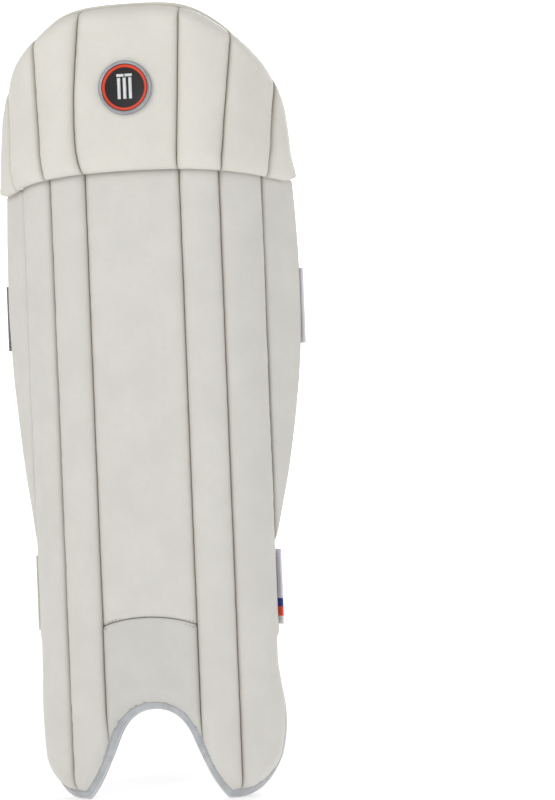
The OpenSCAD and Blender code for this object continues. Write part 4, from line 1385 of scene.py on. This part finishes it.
def edge_point(depth, off):
    """A point of the wing's seam plane: depth in from the front and off beyond the seam."""
    p = spot(S_WING) / MM
    return (p[0] - depth * SB + off * CB, p[1] + depth * CB + off * SB)


def shift(p, dx, dy):
    return p[0] + dx, p[1] + dy


def fold_round(centre, start, stop):
    """Points of a strap's fold round a bar, between two angles."""
    turns = [math.radians(a) for a in range(start, stop, 15 if stop > start else -15)]
    return [shift(centre, FOLD_R * math.cos(a), FOLD_R * math.sin(a)) for a in turns]


def make_ankle_strap():
    z0, z1 = ANKLE_Z - 33, ANKLE_Z + 33
    start, bend, turn = edge_point(-0.5, 0.5), edge_point(17, 0.5), (86.0, FRONT_Y + 57.2)
    path = [start] + curve(bend, shift(bend, -3, 1.6), shift(turn, 4, -1), turn, n=8)
    path = [(-x, y) for x, y in path + [shift(turn, -10, 1)]]
    obj = ribbon("ankle_elastic_band", path, z0, z1, STRAP_T, 1, 0.3, 0.55, 121.0, 100)
    finish_piece(obj, "ribbed", "ribbed_elastic", "ankle_strap", "ankle_elastic")
    start, top = (-86.0, FRONT_Y + 57.2 + STRAP_T + 0.5), (RING_IN, RING_Y + FOLD_R)
    near = shift(start, 0.1, 0)
    path = [start] + curve(near, shift(start, 50, 13.5), shift(top, -50, 9.9), top, n=30)[:-1]
    path += fold_round((RING_IN, RING_Y), 90, -91) + [(RING_IN - 20, RING_Y - FOLD_R - 0.2)]
    obj = ribbon("ankle_webbing_band", path, z0 + 0.3, z1 - 0.3, STRAP_T, 1, seed=123.0, bow=0.6)
    finish_piece(obj, "webbing", "webbing", "ankle_strap", "ankle_webbing")
    bar = (RING_OUT, RING_Y)
    off = STRAP_T + 2.1
    last = edge_point(6, off)
    path = fold_round(bar, 90, 271)
    path += curve(shift(bar, 1, -FOLD_R), shift(bar, 5, -FOLD_R), edge_point(11, off), last, n=10)
    path += [edge_point(-1, off)]
    obj = ribbon("ankle_tab_band", path, z0 + 0.3, z1 - 0.3, STRAP_T, -1, seed=125.0)
    finish_piece(obj, "webbing", "webbing", "ankle_tab", "ankle_tab")
    # The moulded ring, a rounded bar round a rectangle
    h, r, c = 37.0, 2.2, 3.2
    x0, x1, low, high = RING_IN + c, RING_OUT - c, ANKLE_Z - h + c, ANKLE_Z + h - c
    loop = []
    for cx, cz, a0 in ((x1, low, -90), (x1, high, 0), (x0, high, 90), (x0, low, 180)):
        loop += [(cx + c * math.cos(math.radians(a0 + k)), cz + c * math.sin(math.radians(a0 + k)))
                 for k in range(0, 91, 15)]

    def flat(s, z, d):
        return np.stack([s, RING_Y + d, z], 1) * MM
    turns = np.linspace(0, 2 * math.pi, 16, endpoint=False)
    square = [[r * np.sign(v) * abs(v) ** 0.75 for v in (math.cos(a), math.sin(a))] for a in turns]
    obj = sweep("ankle_ring_moulding", loop, square, flat, True, step=1.2, sharp=70)
    finish_piece(obj, "ring", "ring_plastic", "ankle_ring", "ankle_ring")


def make_badges():
    for node, y, z, way, size in (("front_badge", -10.6, 608, -1, 46.0),
                                  ("back_badge", 24.0, 606, 1, 70.0)):
        centre = (0, FRONT_Y + y, z)
        badge(node + "_disc", centre, (0, way, 0), (-way, 0, 0), size, 2.6, "knee_cap", node)


def finish_cad():
    """Finishes for the CAD nodes that stay as they are."""
    for node, mat in (("edge_loop_patch", "loop"), ("wing_loop_patch", "loop"),
                      ("strap_anchor", "elastic"), ("calf_hook_patch", "hook"),
                      ("tab_hook_patch", "hook")):
        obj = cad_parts[node]
        obj.data.materials.clear()
        obj.data.materials.append(M[mat])


# ---------- Stage ----------
def light(name, place, aim, size, power, colour=(1, 1, 1)):
    data = bpy.data.lights.new(name, "AREA")
    data.shape = "RECTANGLE"
    data.size, data.size_y = size
    data.energy = power
    data.color = colour
    obj = bpy.data.objects.new(name, data)
    obj.location = place
    obj.rotation_euler = (Vector(aim) - Vector(place)).to_track_quat("-Z", "Y").to_euler()
    bpy.context.scene.collection.objects.link(obj)


def make_stage():
    k = Mat("floor", 0.8, 0.2)
    k.set("Base Color", (0.86, 0.86, 0.86))
    k.set("Emission Color", (1.0, 1.0, 1.0))
    far = k.ramp(k.vec("LENGTH", k.place(), out=1), 0.9, 2.4, 0.0, 0.36)
    seen = k.node("ShaderNodeLightPath").outputs["Is Camera Ray"]
    k.set("Emission Strength", k.math("MULTIPLY_ADD", far, seen, 0.32))
    k.bump((k.noise(k.place(), 60, 3), 0.05, 0.001))
    half, wall, top, r = 6.0, 3.0, 5.0, 1.2
    prof = [(-half, 0.0)]
    prof += [(wall - r + r * math.sin(a), r - r * math.cos(a)) for a in np.linspace(0, math.pi / 2, 12)]
    prof += [(wall, top)]
    verts = [(x, y, z - 0.0002) for x in (-half, half) for y, z in prof]
    m = len(prof)
    faces = [(i, i + 1, m + i + 1, m + i) for i in range(m - 1)]
    floor = new_object("floor_sweep", verts, faces, None, None, 80)
    floor.data.materials.append(k.m)
    world = bpy.data.worlds.new("world")
    bpy.context.scene.world = world
    world.use_nodes = True
    sky = world.node_tree.nodes["Background"]
    sky.inputs[0].default_value = (1, 1, 1, 1)
    seen = world.node_tree.nodes.new("ShaderNodeLightPath")
    glow = world.node_tree.nodes.new("ShaderNodeMapRange")
    glow.inputs[3].default_value, glow.inputs[4].default_value = 0.52, 1.0
    world.node_tree.links.new(seen.outputs["Is Camera Ray"], glow.inputs[0])
    world.node_tree.links.new(glow.outputs[0], sky.inputs[1])
    light("key", (-1.5, -2.0, 1.9), (0, 0, 0.34), (1.6, 1.6), 28, (1.0, 0.995, 0.985))
    light("fill", (1.9, -1.3, 0.9), (0, 0, 0.3), (1.4, 1.8), 9, (0.98, 0.99, 1.0))
    light("back", (0.6, 2.0, 1.7), (0, 0, 0.34), (1.8, 1.4), 19)
    bpy.context.scene.view_settings.view_transform = "Standard"


def make_camera():
    data = bpy.data.cameras.new("camera")
    data.lens = 83.0
    data.sensor_width = 36.0
    az, away, off, roll = math.radians(12), 1.625, 0.1103, math.radians(-2.3)
    cam = bpy.data.objects.new("camera", data)
    middle = Vector((0, 0, 0.3385))
    cam.location = middle + Vector((math.sin(az), -math.cos(az), 0)) * away
    aim = middle + Vector((math.cos(az), math.sin(az), 0)) * off
    cam.rotation_mode = "QUATERNION"
    turn = (aim - cam.location).to_track_quat("-Z", "Y")
    cam.rotation_quaternion = turn @ Quaternion((0, 0, 1), roll)
    bpy.context.scene.collection.objects.link(cam)
    bpy.context.scene.camera = cam


make_shin()
make_mesh_ribs()
make_binding()
make_wings()
make_knee()
make_bolsters()
make_calf_strap()
make_ankle_strap()
make_badges()
finish_cad()
make_stage()
make_camera()
